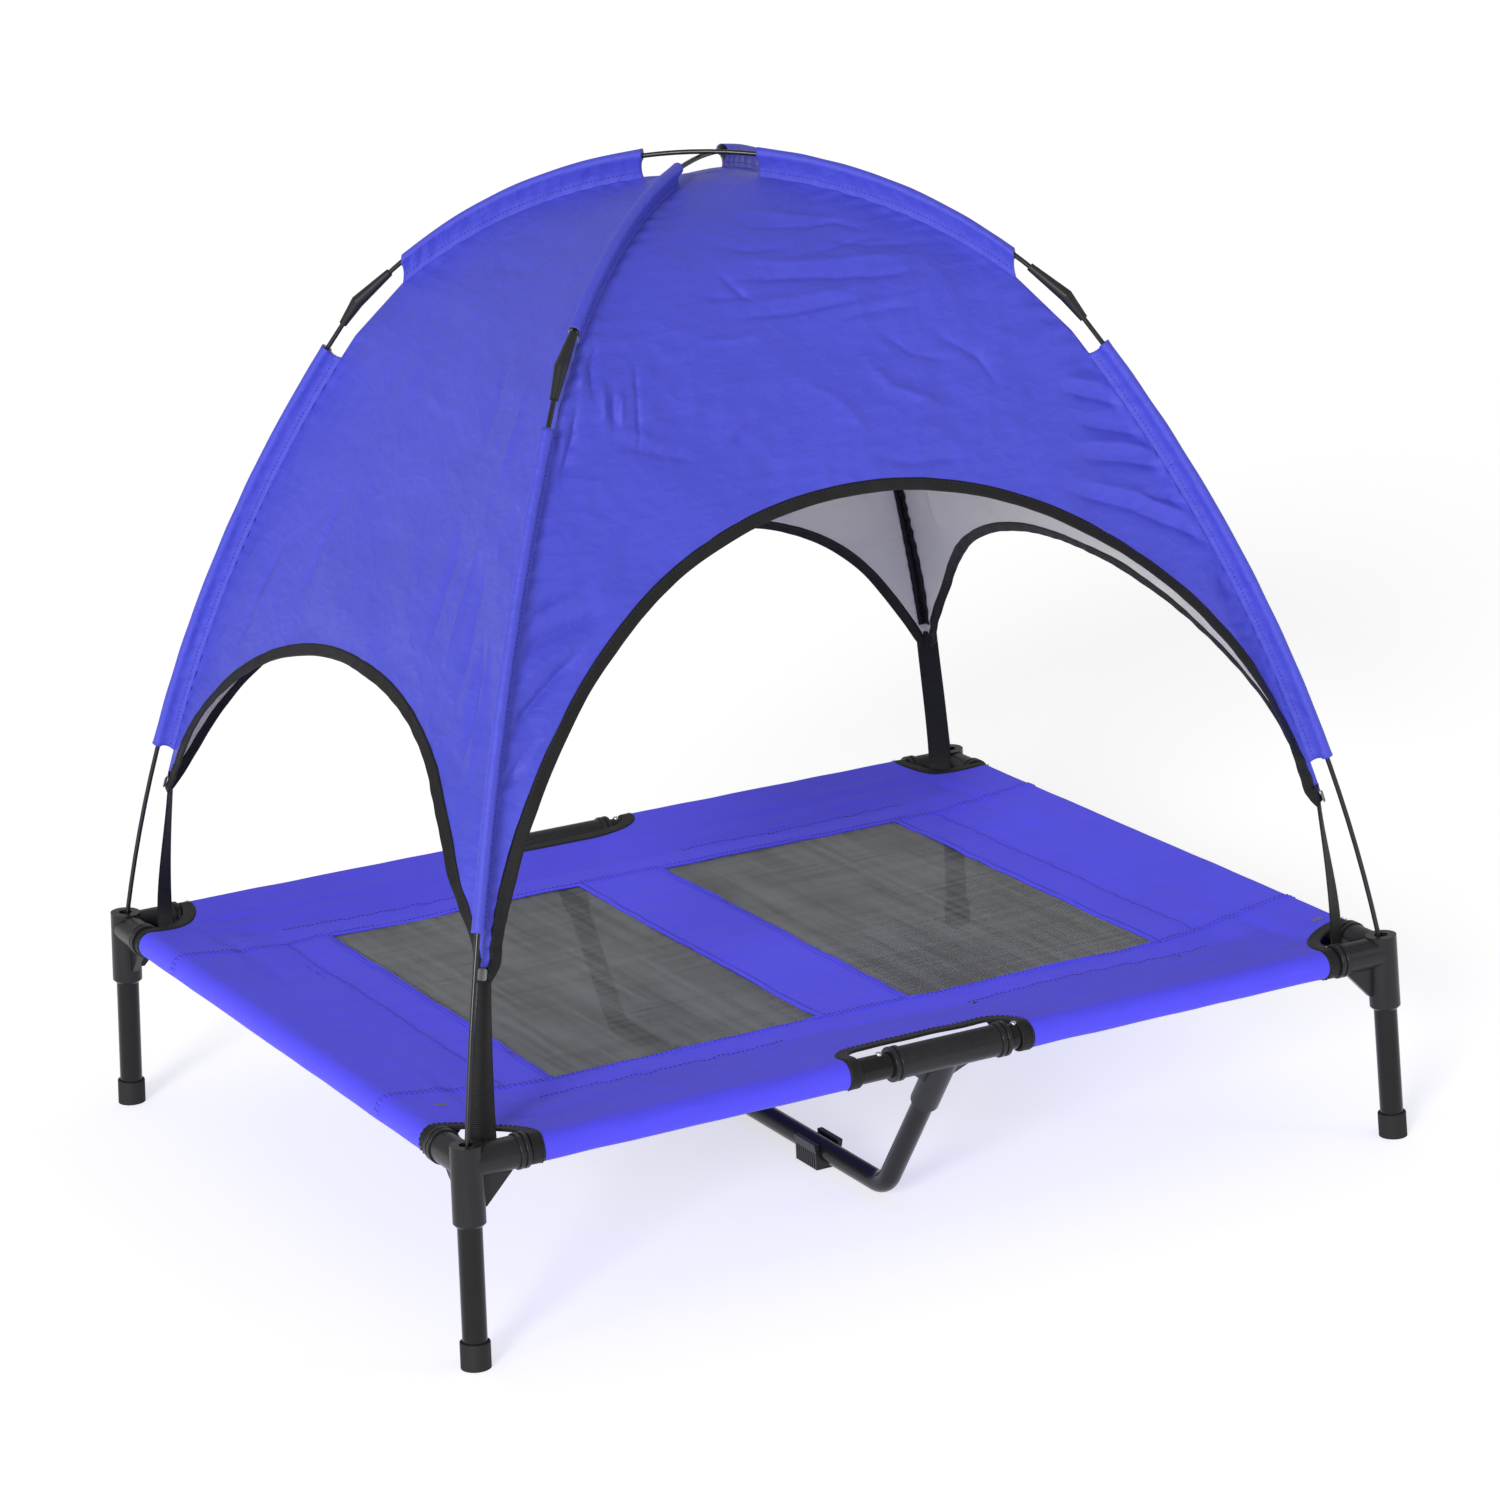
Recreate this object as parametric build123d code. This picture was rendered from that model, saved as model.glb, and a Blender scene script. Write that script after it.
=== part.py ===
from build123d import *
import math
import os

# Raised pet cot with a lift-off dome canopy.
# Millimetres, +Z up, origin on the floor under the middle of the cot.
# X runs along the long side, -Y is the front long side.

# Frame footprint and heights
post_pitch_x = 881.0
post_pitch_y = 730.0
post_top_z = 185.0
rail_drop = 15.0
foot_spread = 6.6

# Tubes and the clearances they are fitted with
rail_d = 22.0
rail_wall = 1.2
leg_d = 20.5
leg_wall = 1.2
support_d = 19.0
support_wall = 1.2
fit_gap = 0.15
end_gap = 0.3

# Moulded corner connector
post_d = 27.0
post_len = 67.5
post_chamfer = 3.0
socket_d = 27.0
arm_len = 50.5
arm_bore = 26.5
collar_d = 30.0
collar_ring = 4.0
collar_groove = 1.5
collar_edge = 1.0
gusset_reach = 38.0
gusset_drop = 39.0
gusset_t = 6.0
leg_insert = 38.0
rod_hole_d = 12.0
rod_hole_depth = 24.0

# Foot cap
cap_wall = 2.1
cap_h = 22.0
cap_floor = 5.0
cap_edge = 1.0

# Middle tee and centre support
tee_len = 112.0
tee_bore = 36.0
branch_d = 25.0
branch_len = 68.0
branch_tilt = 36.0
tee_gusset_reach = 34.0
tee_gusset_drop = 34.0
support_insert = 30.0
support_bend_r = 32.0
support_bar_z = 15.0

# Clip-on foot of the centre support
clip_len = 37.0
clip_offset = 135.0
clip_wall = 3.2
clip_rise = 8.5
clip_lip = 1.6
clip_rib_count = 10
clip_rib_w = 1.5
clip_rib_depth = 0.6

# Spring buttons that lock the rails in the tees
button_d = 6.0
button_rise = 1.8
button_dome = 1.5
button_flange_d = 9.0
button_flange_t = 1.0
button_inset = 9.0
button_travel = 2.5
button_spring_w = 6.0
button_spring_t = 0.6
button_spring_len = 36.0
button_spring_gap = 0.3

# Bed cloth with its rail sleeves and mesh windows
cloth_t = 1.2
sleeve_slack = 0.3
hem_depth = 100.0
hem_seam = 8.0
cut_gap = 0.6
bed_binding_w = 12.0
tee_cut_side = 16.0
tee_cut_corner = 18.0
window_end_margin = 144.0
window_side_margin = 137.0
window_rib = 88.0
mesh_t = 0.9
mesh_gap = 0.3

# Canopy poles: lower rod, elbow, upper rod over the crown
rod_d = 4.2
rod_inset = 2.2
rod_seat_gap = 0.8
lower_rod_bow = 33.0
elbow_inset = 268.5
elbow_rise = 568.5
elbow_lean = 45.0
elbow_len = 64.0
elbow_mid_d = 11.5
elbow_end_d = 7.0
elbow_insert = 24.0
crown_rise = 693.0
pole_cross_gap = 0.3

# Pole sleeves that stand out from the canopy seams
fin_depth = 15.0
fin_wall = 0.6
fin_bottom_rise = 160.0
fin_gap_below_elbow = 27.0
fin_gap_above_elbow = 16.0
fin_gap_at_crown = 50.0

# Canopy panels, their arches and the binding round the arches
panel_t = 1.2
seam_gap = 0.3
tip_rise = 129.0
tip_width = 5.0
front_arch_rise = 446.0
front_arch_crown = 247.0
front_arch_leg = 101.0
front_arch_lean = 10.0
back_arch_rise = 306.0
back_arch_crown = 259.0
back_arch_leg = 132.0
back_arch_lean = 32.5
side_arch_rise = 306.0
side_arch_crown = 158.0
side_arch_leg = 118.0
side_arch_lean = 24.0
arch_binding_w = 11.0

# Hold-down straps at the four canopy tips
strap_w = 23.0
strap_t = 1.6
strap_clear = 1.8
strap_tail = 8.0

# Values worked out from the driving dimensions
post_x = post_pitch_x / 2
post_y = post_pitch_y / 2
half_diagonal = math.hypot(post_x, post_y)
diagonal_x = post_x / half_diagonal
diagonal_y = post_y / half_diagonal
rail_z = post_top_z - rail_drop
leg_axis = Vector(foot_spread, foot_spread, -post_top_z).normalized()
leg_axis_len = math.hypot(post_top_z, foot_spread, foot_spread)
collar_len = 2 * collar_ring + collar_groove
sleeve_inner_r = rail_d / 2 + sleeve_slack
sleeve_outer_r = sleeve_inner_r + cloth_t
corner_cut = math.hypot(arm_len, collar_d / 2) + cut_gap
cap_d = leg_d + 2 * fit_gap + 2 * cap_wall
beyond = post_pitch_x + post_pitch_y
CORNERS = {
    "front_left": (-1, -1),
    "front_right": (1, -1),
    "back_left": (-1, 1),
    "back_right": (1, 1),
}
parts = {}


def placed(shape, side_x, side_y):
    """Mirror a piece made for the +X +Y corner to another corner."""
    if side_x < 0:
        shape = mirror(shape, about=Plane.YZ)
    if side_y < 0:
        shape = mirror(shape, about=Plane.XZ)
    return shape


def rod_between(start, direction, length, diameter):
    """Solid round bar from a point along a direction."""
    return extrude(Plane(origin=start, z_dir=direction) * Circle(diameter / 2), amount=length)


def pipe_between(start, direction, length, diameter, wall):
    """Round tube from a point along a direction."""
    ring = Circle(diameter / 2) - Circle(diameter / 2 - wall)
    return extrude(Plane(origin=start, z_dir=direction) * ring, amount=length)


def block(points, bottom, top):
    """Upright prism over a plan outline."""
    return Pos(0, 0, bottom) * extrude(Polygon(*points, align=None), amount=top - bottom, dir=(0, 0, 1))


def collared_socket(start, direction, length):
    """Round socket with two moulded rings at its mouth."""
    start = Vector(*start)
    direction = Vector(*direction).normalized()
    socket = rod_between(start, direction, length, socket_d)
    for ring_start in (length - collar_len, length - collar_ring):
        ring = rod_between(start + direction * ring_start, direction, collar_ring, collar_d)
        ring = fillet(ring.edges().filter_by(GeomType.CIRCLE), collar_edge)
        socket += ring
    return socket


def corner_connector():
    """Three-way moulding: leaning leg post, two rail sockets and their gussets."""
    top = Vector(post_x, post_y, post_top_z)
    joint = Vector(post_x, post_y, rail_z)
    post = rod_between(top, leg_axis, post_len, post_d)
    post = chamfer(post.edges().filter_by(GeomType.CIRCLE).sort_by(Axis.Z)[0], post_chamfer)
    body = post
    for direction in (Vector(-1, 0, 0), Vector(0, -1, 0)):
        body += collared_socket(joint, direction, arm_len)
        web_plane = Plane(origin=joint, x_dir=direction, z_dir=direction.cross(Vector(0, 0, 1)))
        web = Polygon((0, 0), (gusset_reach, 0), (gusset_reach, -socket_d / 2),
                      (post_d / 2, -gusset_drop), (0, -gusset_drop), align=None)
        body += extrude(web_plane * web, amount=gusset_t / 2, both=True)
    for direction in (Vector(-1, 0, 0), Vector(0, -1, 0)):
        mouth = joint + direction * arm_len
        body -= rod_between(mouth, direction * -1, arm_bore, rail_d + 2 * fit_gap)
    body -= rod_between(top + leg_axis * post_len, leg_axis * -1, leg_insert, leg_d + 2 * fit_gap)
    body -= rod_between(top, leg_axis, rod_hole_depth, rod_hole_d)
    return body


def leg_tube():
    """Steel leg from the blind end of the post to the floor of the foot cap."""
    top = Vector(post_x, post_y, post_top_z)
    start = post_len - leg_insert + end_gap
    length = leg_axis_len - cap_floor - end_gap - start
    return pipe_between(top + leg_axis * start, leg_axis, length, leg_d, leg_wall)


def foot_cap():
    """Rubber cap pushed over the leg, cut flat on the floor."""
    top = Vector(post_x, post_y, post_top_z)
    mouth = top + leg_axis * (leg_axis_len - cap_h)
    cap = rod_between(mouth, leg_axis, cap_h + cap_floor, cap_d)
    cap = fillet(cap.edges().filter_by(GeomType.CIRCLE).sort_by(Axis.Z)[-1], cap_edge)
    cap -= rod_between(mouth, leg_axis, cap_h - cap_floor, leg_d + 2 * fit_gap)
    floor = Pos(post_x, post_y, -cap_h) * Box(beyond, beyond, 2 * cap_h)
    return cap - floor


def button_x():
    """Distance of a lock button from the middle of the long side."""
    return tee_len / 2 + button_inset


def side_rail():
    """Half of a long side, from the corner socket to the tee, with its button hole."""
    start = Vector(post_x - arm_len + arm_bore - end_gap, post_y, rail_z)
    finish = tee_len / 2 - tee_bore + end_gap
    rail = pipe_between(start, (-1, 0, 0), start.X - finish, rail_d, rail_wall)
    hole = rod_between((button_x(), post_y, rail_z), (0, 0, 1), rail_d, button_d + 2 * fit_gap)
    return rail - hole


def lock_button():
    """Domed spring button that comes up through the rail."""
    inner_r = rail_d / 2 - rail_wall
    top = rail_d / 2 + button_rise
    pin = rod_between((button_x(), post_y, rail_z), (0, 0, 1), top, button_d)
    pin = fillet(pin.edges().filter_by(GeomType.CIRCLE).sort_by(Axis.Z)[-1], button_dome)
    base = rod_between((button_x(), post_y, rail_z), (0, 0, 1), inner_r, button_flange_d)
    shell_r = inner_r - fit_gap
    tube_inside = rod_between((button_x() - rail_d, post_y, rail_z), (1, 0, 0), 2 * rail_d, 2 * shell_r)
    core = rod_between((button_x() - rail_d, post_y, rail_z), (1, 0, 0), 2 * rail_d,
                       2 * (shell_r - button_flange_t))
    return ((base & tube_inside) + pin) - core


def lock_spring():
    """V-shaped leaf spring inside the rail, drawn with its upper leaf at the pressed height."""
    inner_r = rail_d / 2 - rail_wall
    flange_r = inner_r - fit_gap - button_flange_t
    floor = fit_gap - math.sqrt(inner_r ** 2 - button_spring_w ** 2 / 4)
    flange_edge = math.sqrt(flange_r ** 2 - button_flange_d ** 2 / 4)
    top = flange_edge - button_travel - button_spring_gap
    start = button_x() - button_flange_d / 2
    tip = start + button_spring_len
    leaf = Polygon((start, top), (tip, floor), (start, floor), (start, floor + button_spring_t),
                   (tip - button_spring_len / 6, floor + button_spring_t),
                   (start, top - button_spring_t), align=None)
    plane = Plane(origin=(0, post_y, rail_z), x_dir=(1, 0, 0), z_dir=(0, -1, 0))
    return extrude(plane * leaf, amount=button_spring_w / 2, both=True)


def end_rail():
    """Short side tube between two corner sockets."""
    reach = post_y - arm_len + arm_bore - end_gap
    return pipe_between((post_x, -reach, rail_z), (0, 1, 0), 2 * reach, rail_d, rail_wall)


def branch_direction():
    """Direction of the tee's branch on the back side: down and inward."""
    tilt = math.radians(branch_tilt)
    return Vector(0, -math.sin(tilt), -math.cos(tilt))


def rail_tee():
    """Sleeve that joins two rail halves, with a slanted socket for the support."""
    joint = Vector(0, post_y, rail_z)
    down = branch_direction()
    body = collared_socket(joint, (1, 0, 0), tee_len / 2) + collared_socket(joint, (-1, 0, 0), tee_len / 2)
    body += rod_between(joint, down, branch_len, branch_d)
    web_plane = Plane(origin=joint, x_dir=(1, 0, 0), z_dir=Vector(1, 0, 0).cross(down))
    web = Polygon((-tee_gusset_reach, 0), (tee_gusset_reach, 0), (tee_gusset_reach, socket_d / 2),
                  (branch_d / 2, tee_gusset_drop), (-branch_d / 2, tee_gusset_drop),
                  (-tee_gusset_reach, socket_d / 2), align=None)
    body += extrude(web_plane * web, amount=gusset_t / 2, both=True)
    for side in (1, -1):
        mouth = joint + Vector(side * tee_len / 2, 0, 0)
        body -= rod_between(mouth, (-side, 0, 0), tee_bore, rail_d + 2 * fit_gap)
    body -= rod_between(joint + down * branch_len, down * -1, support_insert, support_d + 2 * fit_gap)
    return body


def centre_support():
    """Bent tube from tee to tee, with a level bar just above the floor."""
    down = branch_direction()
    top = Vector(0, post_y, rail_z) + down * (branch_len - support_insert + end_gap)
    corner_y = post_y - (rail_z - support_bar_z) * math.tan(math.radians(branch_tilt))
    route = FilletPolyline(
        (0, top.Y, top.Z), (0, corner_y, support_bar_z), (0, -corner_y, support_bar_z), (0, -top.Y, top.Z),
        radius=support_bend_r)
    section = Plane(origin=top, z_dir=down)
    outer = sweep(section * Circle(support_d / 2), path=route)
    inner = sweep(section * Circle(support_d / 2 - support_wall), path=route)
    return outer - inner


def support_foot_clip():
    """Ribbed C-shaped foot clipped on the bar, open at the top."""
    inner_r = support_d / 2 + fit_gap
    outer_r = inner_r + clip_wall
    wall = Pos(0, -support_bar_z / 2) * Rectangle(2 * outer_r, support_bar_z)
    wall += Circle(outer_r)
    lip_x = inner_r + clip_wall / 2 + clip_lip
    wall += Polygon((-lip_x - clip_wall / 2, clip_rise), (-outer_r, 0), (outer_r, 0),
                    (lip_x + clip_wall / 2, clip_rise), align=None)
    wall -= Pos(0, outer_r + clip_rise) * Rectangle(4 * outer_r, 2 * outer_r)
    wall -= Circle(inner_r)
    wall -= Pos(0, outer_r) * Rectangle(2 * inner_r, 2 * outer_r)
    wall -= Pos(0, -support_bar_z - outer_r) * Rectangle(4 * outer_r, 2 * outer_r)
    end = Plane(origin=(0, clip_offset - clip_len / 2, support_bar_z), x_dir=(-1, 0, 0), z_dir=(0, 1, 0))
    clip = extrude(end * wall, amount=clip_len)
    pitch = clip_len / clip_rib_count
    reach = outer_r + clip_lip + clip_wall
    for index in range(1, clip_rib_count):
        y = clip_offset - clip_len / 2 + index * pitch
        for side in (1, -1):
            groove = Pos(side * (outer_r + reach / 2 - clip_rib_depth), y, support_bar_z / 2)
            clip -= groove * Box(reach, clip_rib_w, support_bar_z)
    return clip


def teardrop(radius, tip_x, tip_half):
    """Section of a cloth loop round a rail: a circle drawn out to a seam."""
    reach = math.hypot(tip_x, tip_half)
    turn = math.atan2(tip_half, tip_x) + math.acos(radius / reach)
    touch = (radius * math.cos(turn), radius * math.sin(turn))
    low = (touch[0], -touch[1])
    edges = [Line((tip_x, tip_half), touch), ThreePointArc(touch, (-radius, 0), low)]
    edges.append(Line(low, (tip_x, -tip_half)))
    if tip_half > 0:
        edges.append(Line((tip_x, -tip_half), (tip_x, tip_half)))
    return make_face(edges)


def bed_sheet():
    """The whole bed cloth before it is cut: a flat sheet with a loop along each rail."""
    loop = teardrop(sleeve_outer_r, hem_depth, cloth_t / 2)
    loop -= teardrop(sleeve_inner_r, hem_depth - hem_seam, 0)
    back_plane = Plane(origin=(post_x, post_y, rail_z), x_dir=(0, -1, 0), z_dir=(-1, 0, 0))
    right_plane = Plane(origin=(post_x, -post_y, rail_z), x_dir=(-1, 0, 0), z_dir=(0, 1, 0))
    back = extrude(back_plane * loop, amount=post_pitch_x)
    right = extrude(right_plane * loop, amount=post_pitch_y)
    out_x = post_x + 2 * sleeve_outer_r
    out_y = post_y + 2 * sleeve_outer_r
    in_x = post_x - hem_depth
    in_y = post_y - hem_depth
    low = rail_z - 2 * sleeve_outer_r
    high = rail_z + 2 * sleeve_outer_r
    back &= block([(-out_x, out_y), (out_x, out_y), (in_x, in_y), (-in_x, in_y)], low, high)
    right &= block([(out_x, out_y), (out_x, -out_y), (in_x, -in_y), (in_x, in_y)], low, high)
    sheet = Pos(0, 0, rail_z) * Box(2 * in_x, 2 * in_y, cloth_t)
    for piece in (back, mirror(back, about=Plane.XZ), right, mirror(right, about=Plane.YZ)):
        sheet += piece
    return sheet


def corner_prism(radius):
    """Upright round cutter about a post that takes a corner off the bed cloth."""
    return rod_between((post_x, post_y, 0), (0, 0, 1), post_top_z + rail_d, 2 * radius)


def tee_prism(grow):
    """Plan outline of the cut-out round a tee."""
    half_w = tee_len / 2 + tee_cut_side + grow
    tilt = math.radians(branch_tilt)
    branch_reach = branch_d / 2 / math.cos(tilt) + sleeve_outer_r * math.tan(tilt)
    depth = branch_reach + cut_gap + grow
    corner = tee_cut_corner + grow
    outline = RectangleRounded(2 * half_w, 2 * (depth + corner), corner)
    return Pos(0, post_y + corner, 0) * extrude(outline, amount=post_top_z + rail_d)


def all_corners(shape):
    """The four mirrored copies of a corner piece."""
    return [placed(shape, *sides) for sides in CORNERS.values()]


def both_sides(shape):
    """A piece of the back side and its mirror image at the front."""
    return [shape, mirror(shape, about=Plane.XZ)]


def mesh_window():
    """Plan size and centre of the right-hand mesh window."""
    inner = window_rib / 2
    outer = post_x - window_end_margin
    half_y = post_y - window_side_margin
    return (inner + outer) / 2, outer - inner, 2 * half_y


def bed_pieces():
    """Cut the sheet into cloth, corner bindings, tee bindings and mesh panels."""
    sheet = bed_sheet()
    corner_hole = corner_prism(corner_cut)
    corner_edge = corner_prism(corner_cut + bed_binding_w)
    tee_hole = tee_prism(0)
    tee_edge = tee_prism(bed_binding_w)
    corner_binding = sheet & (corner_edge - corner_hole)
    tee_binding = sheet & (tee_edge - tee_hole)
    cloth = sheet
    for cutter in all_corners(corner_edge) + both_sides(tee_edge):
        cloth -= cutter
    middle, width, length = mesh_window()
    mesh = Pos(middle, 0, rail_z) * Box(width - 2 * mesh_gap, length - 2 * mesh_gap, mesh_t)
    window = Pos(middle, 0, rail_z) * Box(width, length, 4 * cloth_t)
    cloth = cloth - window - mirror(window, about=Plane.YZ)
    return cloth, all_corners(corner_binding), both_sides(tee_binding), mesh


class Pole:
    """One half of a pole in its upright diagonal plane, as (distance from the axis, height)."""

    def __init__(self, inset, crown_drop):
        lean = math.radians(elbow_lean)
        middle = (half_diagonal - elbow_inset, post_top_z + elbow_rise)
        half = elbow_len / 2
        normal = (math.cos(lean), math.sin(lean))
        shift = (middle[0] - inset * normal[0], middle[1] - inset * normal[1])
        self.low_end = (shift[0] + half * math.sin(lean), shift[1] - half * math.cos(lean))
        self.high_end = (shift[0] - half * math.sin(lean), shift[1] + half * math.cos(lean))
        self.crown_z = post_top_z + crown_rise - crown_drop - inset
        drop = self.crown_z - self.high_end[1]
        self.upper_r = (self.high_end[0] ** 2 + drop ** 2) / (2 * drop)
        self.upper_z = self.crown_z - self.upper_r
        base = (half_diagonal - rod_inset, post_top_z)
        foot = (middle[0] + half * math.sin(lean), middle[1] - half * math.cos(lean))
        chord = math.hypot(foot[0] - base[0], foot[1] - base[1])
        axis_r = (chord ** 2 / 4 + lower_rod_bow ** 2) / (2 * lower_rod_bow)
        across = ((foot[1] - base[1]) / chord, (base[0] - foot[0]) / chord)
        back = axis_r - lower_rod_bow
        self.lower_s = (base[0] + foot[0]) / 2 - across[0] * back
        self.lower_z = (base[1] + foot[1]) / 2 - across[1] * back
        self.lower_r = axis_r - inset

    def lower_point(self, z):
        """Point of the lower arc at a height."""
        return (self.lower_s + math.sqrt(self.lower_r ** 2 - (z - self.lower_z) ** 2), z)

    def lower_turn(self, point):
        """Angle of a point of the lower arc, seen from the arc's centre."""
        return math.atan2(point[1] - self.lower_z, point[0] - self.lower_s)

    def lower_at(self, turn):
        """Point of the lower arc at an angle."""
        return (self.lower_s + self.lower_r * math.cos(turn), self.lower_z + self.lower_r * math.sin(turn))

    def upper_at(self, s):
        """Point of the upper arc at a distance from the axis."""
        return (s, self.upper_z + math.sqrt(self.upper_r ** 2 - s ** 2))

    def lower_edge(self, start, finish):
        """Edge of the lower arc between two of its points."""
        middle = self.lower_at((self.lower_turn(start) + self.lower_turn(finish)) / 2)
        return ThreePointArc(start, middle, finish)

    def upper_edge(self, start_s, finish_s):
        """Edge of the upper arc between two distances from the axis."""
        middle = self.upper_at((start_s + finish_s) / 2)
        return ThreePointArc(self.upper_at(start_s), middle, self.upper_at(finish_s))


def diagonal_plane(side_x, side_y):
    """Upright plane from the axis to a corner: x is the distance out, y is the height."""
    return Plane(origin=(0, 0, 0), x_dir=(side_x * post_x, side_y * post_y, 0),
                 z_dir=(side_y * post_y, -side_x * post_x, 0))


def crown_drop(side_x, side_y):
    """The pole from front left to back right passes under the other one."""
    return rod_d + pole_cross_gap if side_x == side_y else 0.0


def swept_bar(plane, edge, radius):
    """Round bar along an edge that is drawn in a plane."""
    path = plane * edge
    across = plane.z_dir.cross(path % 0)
    section = Plane(origin=path @ 0, x_dir=across, z_dir=path % 0)
    return sweep(section * Circle(radius), path=path)


def rod_tip(pole):
    """Lower end of a pole, just above the floor of the hole in the post."""
    return pole.lower_point(post_top_z - rod_hole_depth + rod_seat_gap)


def elbow_bend(pole):
    """Point where the tangents of the lower and the upper rod cross."""
    low_turn = pole.lower_turn(pole.low_end)
    rise = (-math.sin(low_turn), math.cos(low_turn))
    slope = math.asin(pole.high_end[0] / pole.upper_r)
    fall = (math.cos(slope), -math.sin(slope))
    gap = (pole.high_end[0] - pole.low_end[0], pole.high_end[1] - pole.low_end[1])
    cross = rise[0] * fall[1] - rise[1] * fall[0]
    along = (gap[0] * fall[1] - gap[1] * fall[0]) / cross
    return (pole.low_end[0] + along * rise[0], pole.low_end[1] + along * rise[1])


def lower_turn_past(pole, distance):
    """Angle on the lower arc at a distance below (or, if negative, above) the elbow's end."""
    return pole.lower_turn(pole.low_end) - distance / pole.lower_r


def upper_s_past(pole, distance):
    """Distance from the axis of the point of the upper arc at a distance above the elbow's end."""
    slope = math.asin(pole.high_end[0] / pole.upper_r) - distance / pole.upper_r
    return pole.upper_r * math.sin(slope)


def lower_rod(side_x, side_y):
    """Fibreglass rod from the post up into the elbow."""
    pole = Pole(0, crown_drop(side_x, side_y))
    finish = pole.lower_at(lower_turn_past(pole, -elbow_insert + end_gap))
    return swept_bar(diagonal_plane(side_x, side_y), pole.lower_edge(rod_tip(pole), finish), rod_d / 2)


def upper_rod(side_x, side_y):
    """Fibreglass rod over the crown, from elbow to elbow."""
    pole = Pole(0, crown_drop(side_x, side_y))
    end = upper_s_past(pole, -elbow_insert + end_gap)
    edge = ThreePointArc(pole.upper_at(end), (0, pole.crown_z), (-end, pole.upper_at(end)[1]))
    return swept_bar(diagonal_plane(side_x, side_y), edge, rod_d / 2)


def rod_elbow(side_x, side_y):
    """Moulded elbow: two tapered sockets that meet at the bend."""
    pole = Pole(0, crown_drop(side_x, side_y))
    plane = diagonal_plane(side_x, side_y)
    bend = elbow_bend(pole)
    bend_point = plane.from_local_coords(Vector(*bend, 0))
    elbow = Pos(bend_point) * Sphere(elbow_mid_d / 2)
    for end in (pole.low_end, pole.high_end):
        end_point = plane.from_local_coords(Vector(*end, 0))
        direction = end_point - bend_point
        middle = Plane(origin=bend_point, z_dir=direction) * Circle(elbow_mid_d / 2)
        mouth = Plane(origin=end_point, z_dir=direction) * Circle(elbow_end_d / 2)
        elbow += loft([middle.face(), mouth.face()])
    bore = rod_d / 2 + fit_gap
    low_start = pole.lower_at(lower_turn_past(pole, elbow_len / 2))
    low_finish = pole.lower_at(lower_turn_past(pole, -elbow_insert))
    elbow -= swept_bar(plane, pole.lower_edge(low_start, low_finish), bore)
    high_start = upper_s_past(pole, elbow_len / 2)
    high_finish = upper_s_past(pole, -elbow_insert)
    elbow -= swept_bar(plane, pole.upper_edge(high_start, high_finish), bore)
    return elbow


def pole_sleeve(plane, outer_edge, inner_edge, bore_edge):
    """Flat cloth tunnel: a loop round the rod and a double web down to the seam."""
    loop_r = rod_d / 2 + sleeve_slack
    start_web = Line(outer_edge @ 0, inner_edge @ 0)
    finish_web = Line(inner_edge @ 1, outer_edge @ 1)
    web = make_face([outer_edge, inner_edge, start_web, finish_web])
    sleeve = extrude(plane * web, amount=fin_wall, both=True)
    sleeve += swept_bar(plane, outer_edge, loop_r + fin_wall)
    return sleeve - swept_bar(plane, bore_edge, loop_r)


def lower_sleeve(side_x, side_y):
    """Sleeve on a lower rod, from above the canopy tip to below the elbow."""
    pole = Pole(0, crown_drop(side_x, side_y))
    seam = Pole(fin_depth - seam_gap, crown_drop(1, 1))
    start = pole.lower_turn(pole.lower_point(post_top_z + fin_bottom_rise))
    finish = lower_turn_past(pole, fin_gap_below_elbow)
    outer = pole.lower_edge(pole.lower_at(start), pole.lower_at(finish))
    inner = seam.lower_edge(seam.lower_at(start), seam.lower_at(finish))
    spare = fin_depth / pole.lower_r
    bore = pole.lower_edge(pole.lower_at(start - spare), pole.lower_at(finish + spare))
    return pole_sleeve(diagonal_plane(side_x, side_y), outer, inner, bore)


def upper_sleeve(side_x, side_y):
    """Sleeve on half of an upper rod, from above the elbow to beside the crown."""
    pole = Pole(0, crown_drop(side_x, side_y))
    seam = Pole(fin_depth - seam_gap, crown_drop(1, 1))
    start = upper_s_past(pole, fin_gap_above_elbow)
    outer = pole.upper_edge(start, fin_gap_at_crown)
    inner = seam.upper_edge(start * seam.upper_r / pole.upper_r, fin_gap_at_crown)
    bore_start = upper_s_past(pole, fin_gap_above_elbow - fin_depth)
    bore = pole.upper_edge(bore_start, fin_gap_at_crown - fin_depth)
    return pole_sleeve(diagonal_plane(side_x, side_y), outer, inner, bore)


def ridge_edges(inset):
    """The canopy's seam line in a diagonal plane, from the tip up to the crown."""
    seam = Pole(inset, crown_drop(1, 1))
    tip = seam.lower_point(post_top_z + tip_rise)
    knee = seam.lower_at(seam.lower_turn(seam.low_end))
    return [seam.lower_edge(tip, knee), Line(knee, seam.high_end), seam.upper_edge(seam.high_end[0], 0)]


def ridge_strip():
    """Thin face between the outer and the inner side of the canopy at a seam."""
    outer = ridge_edges(fin_depth)
    inner = ridge_edges(fin_depth + panel_t)
    ends = [Line(outer[0] @ 0, inner[0] @ 0), Line(outer[-1] @ 1, inner[-1] @ 1)]
    return make_face(outer + inner + ends)


def ridge_tip():
    """Distance of the seam from the canopy's axis at the tips."""
    return Pole(fin_depth, crown_drop(1, 1)).lower_point(post_top_z + tip_rise)[0]


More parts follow.
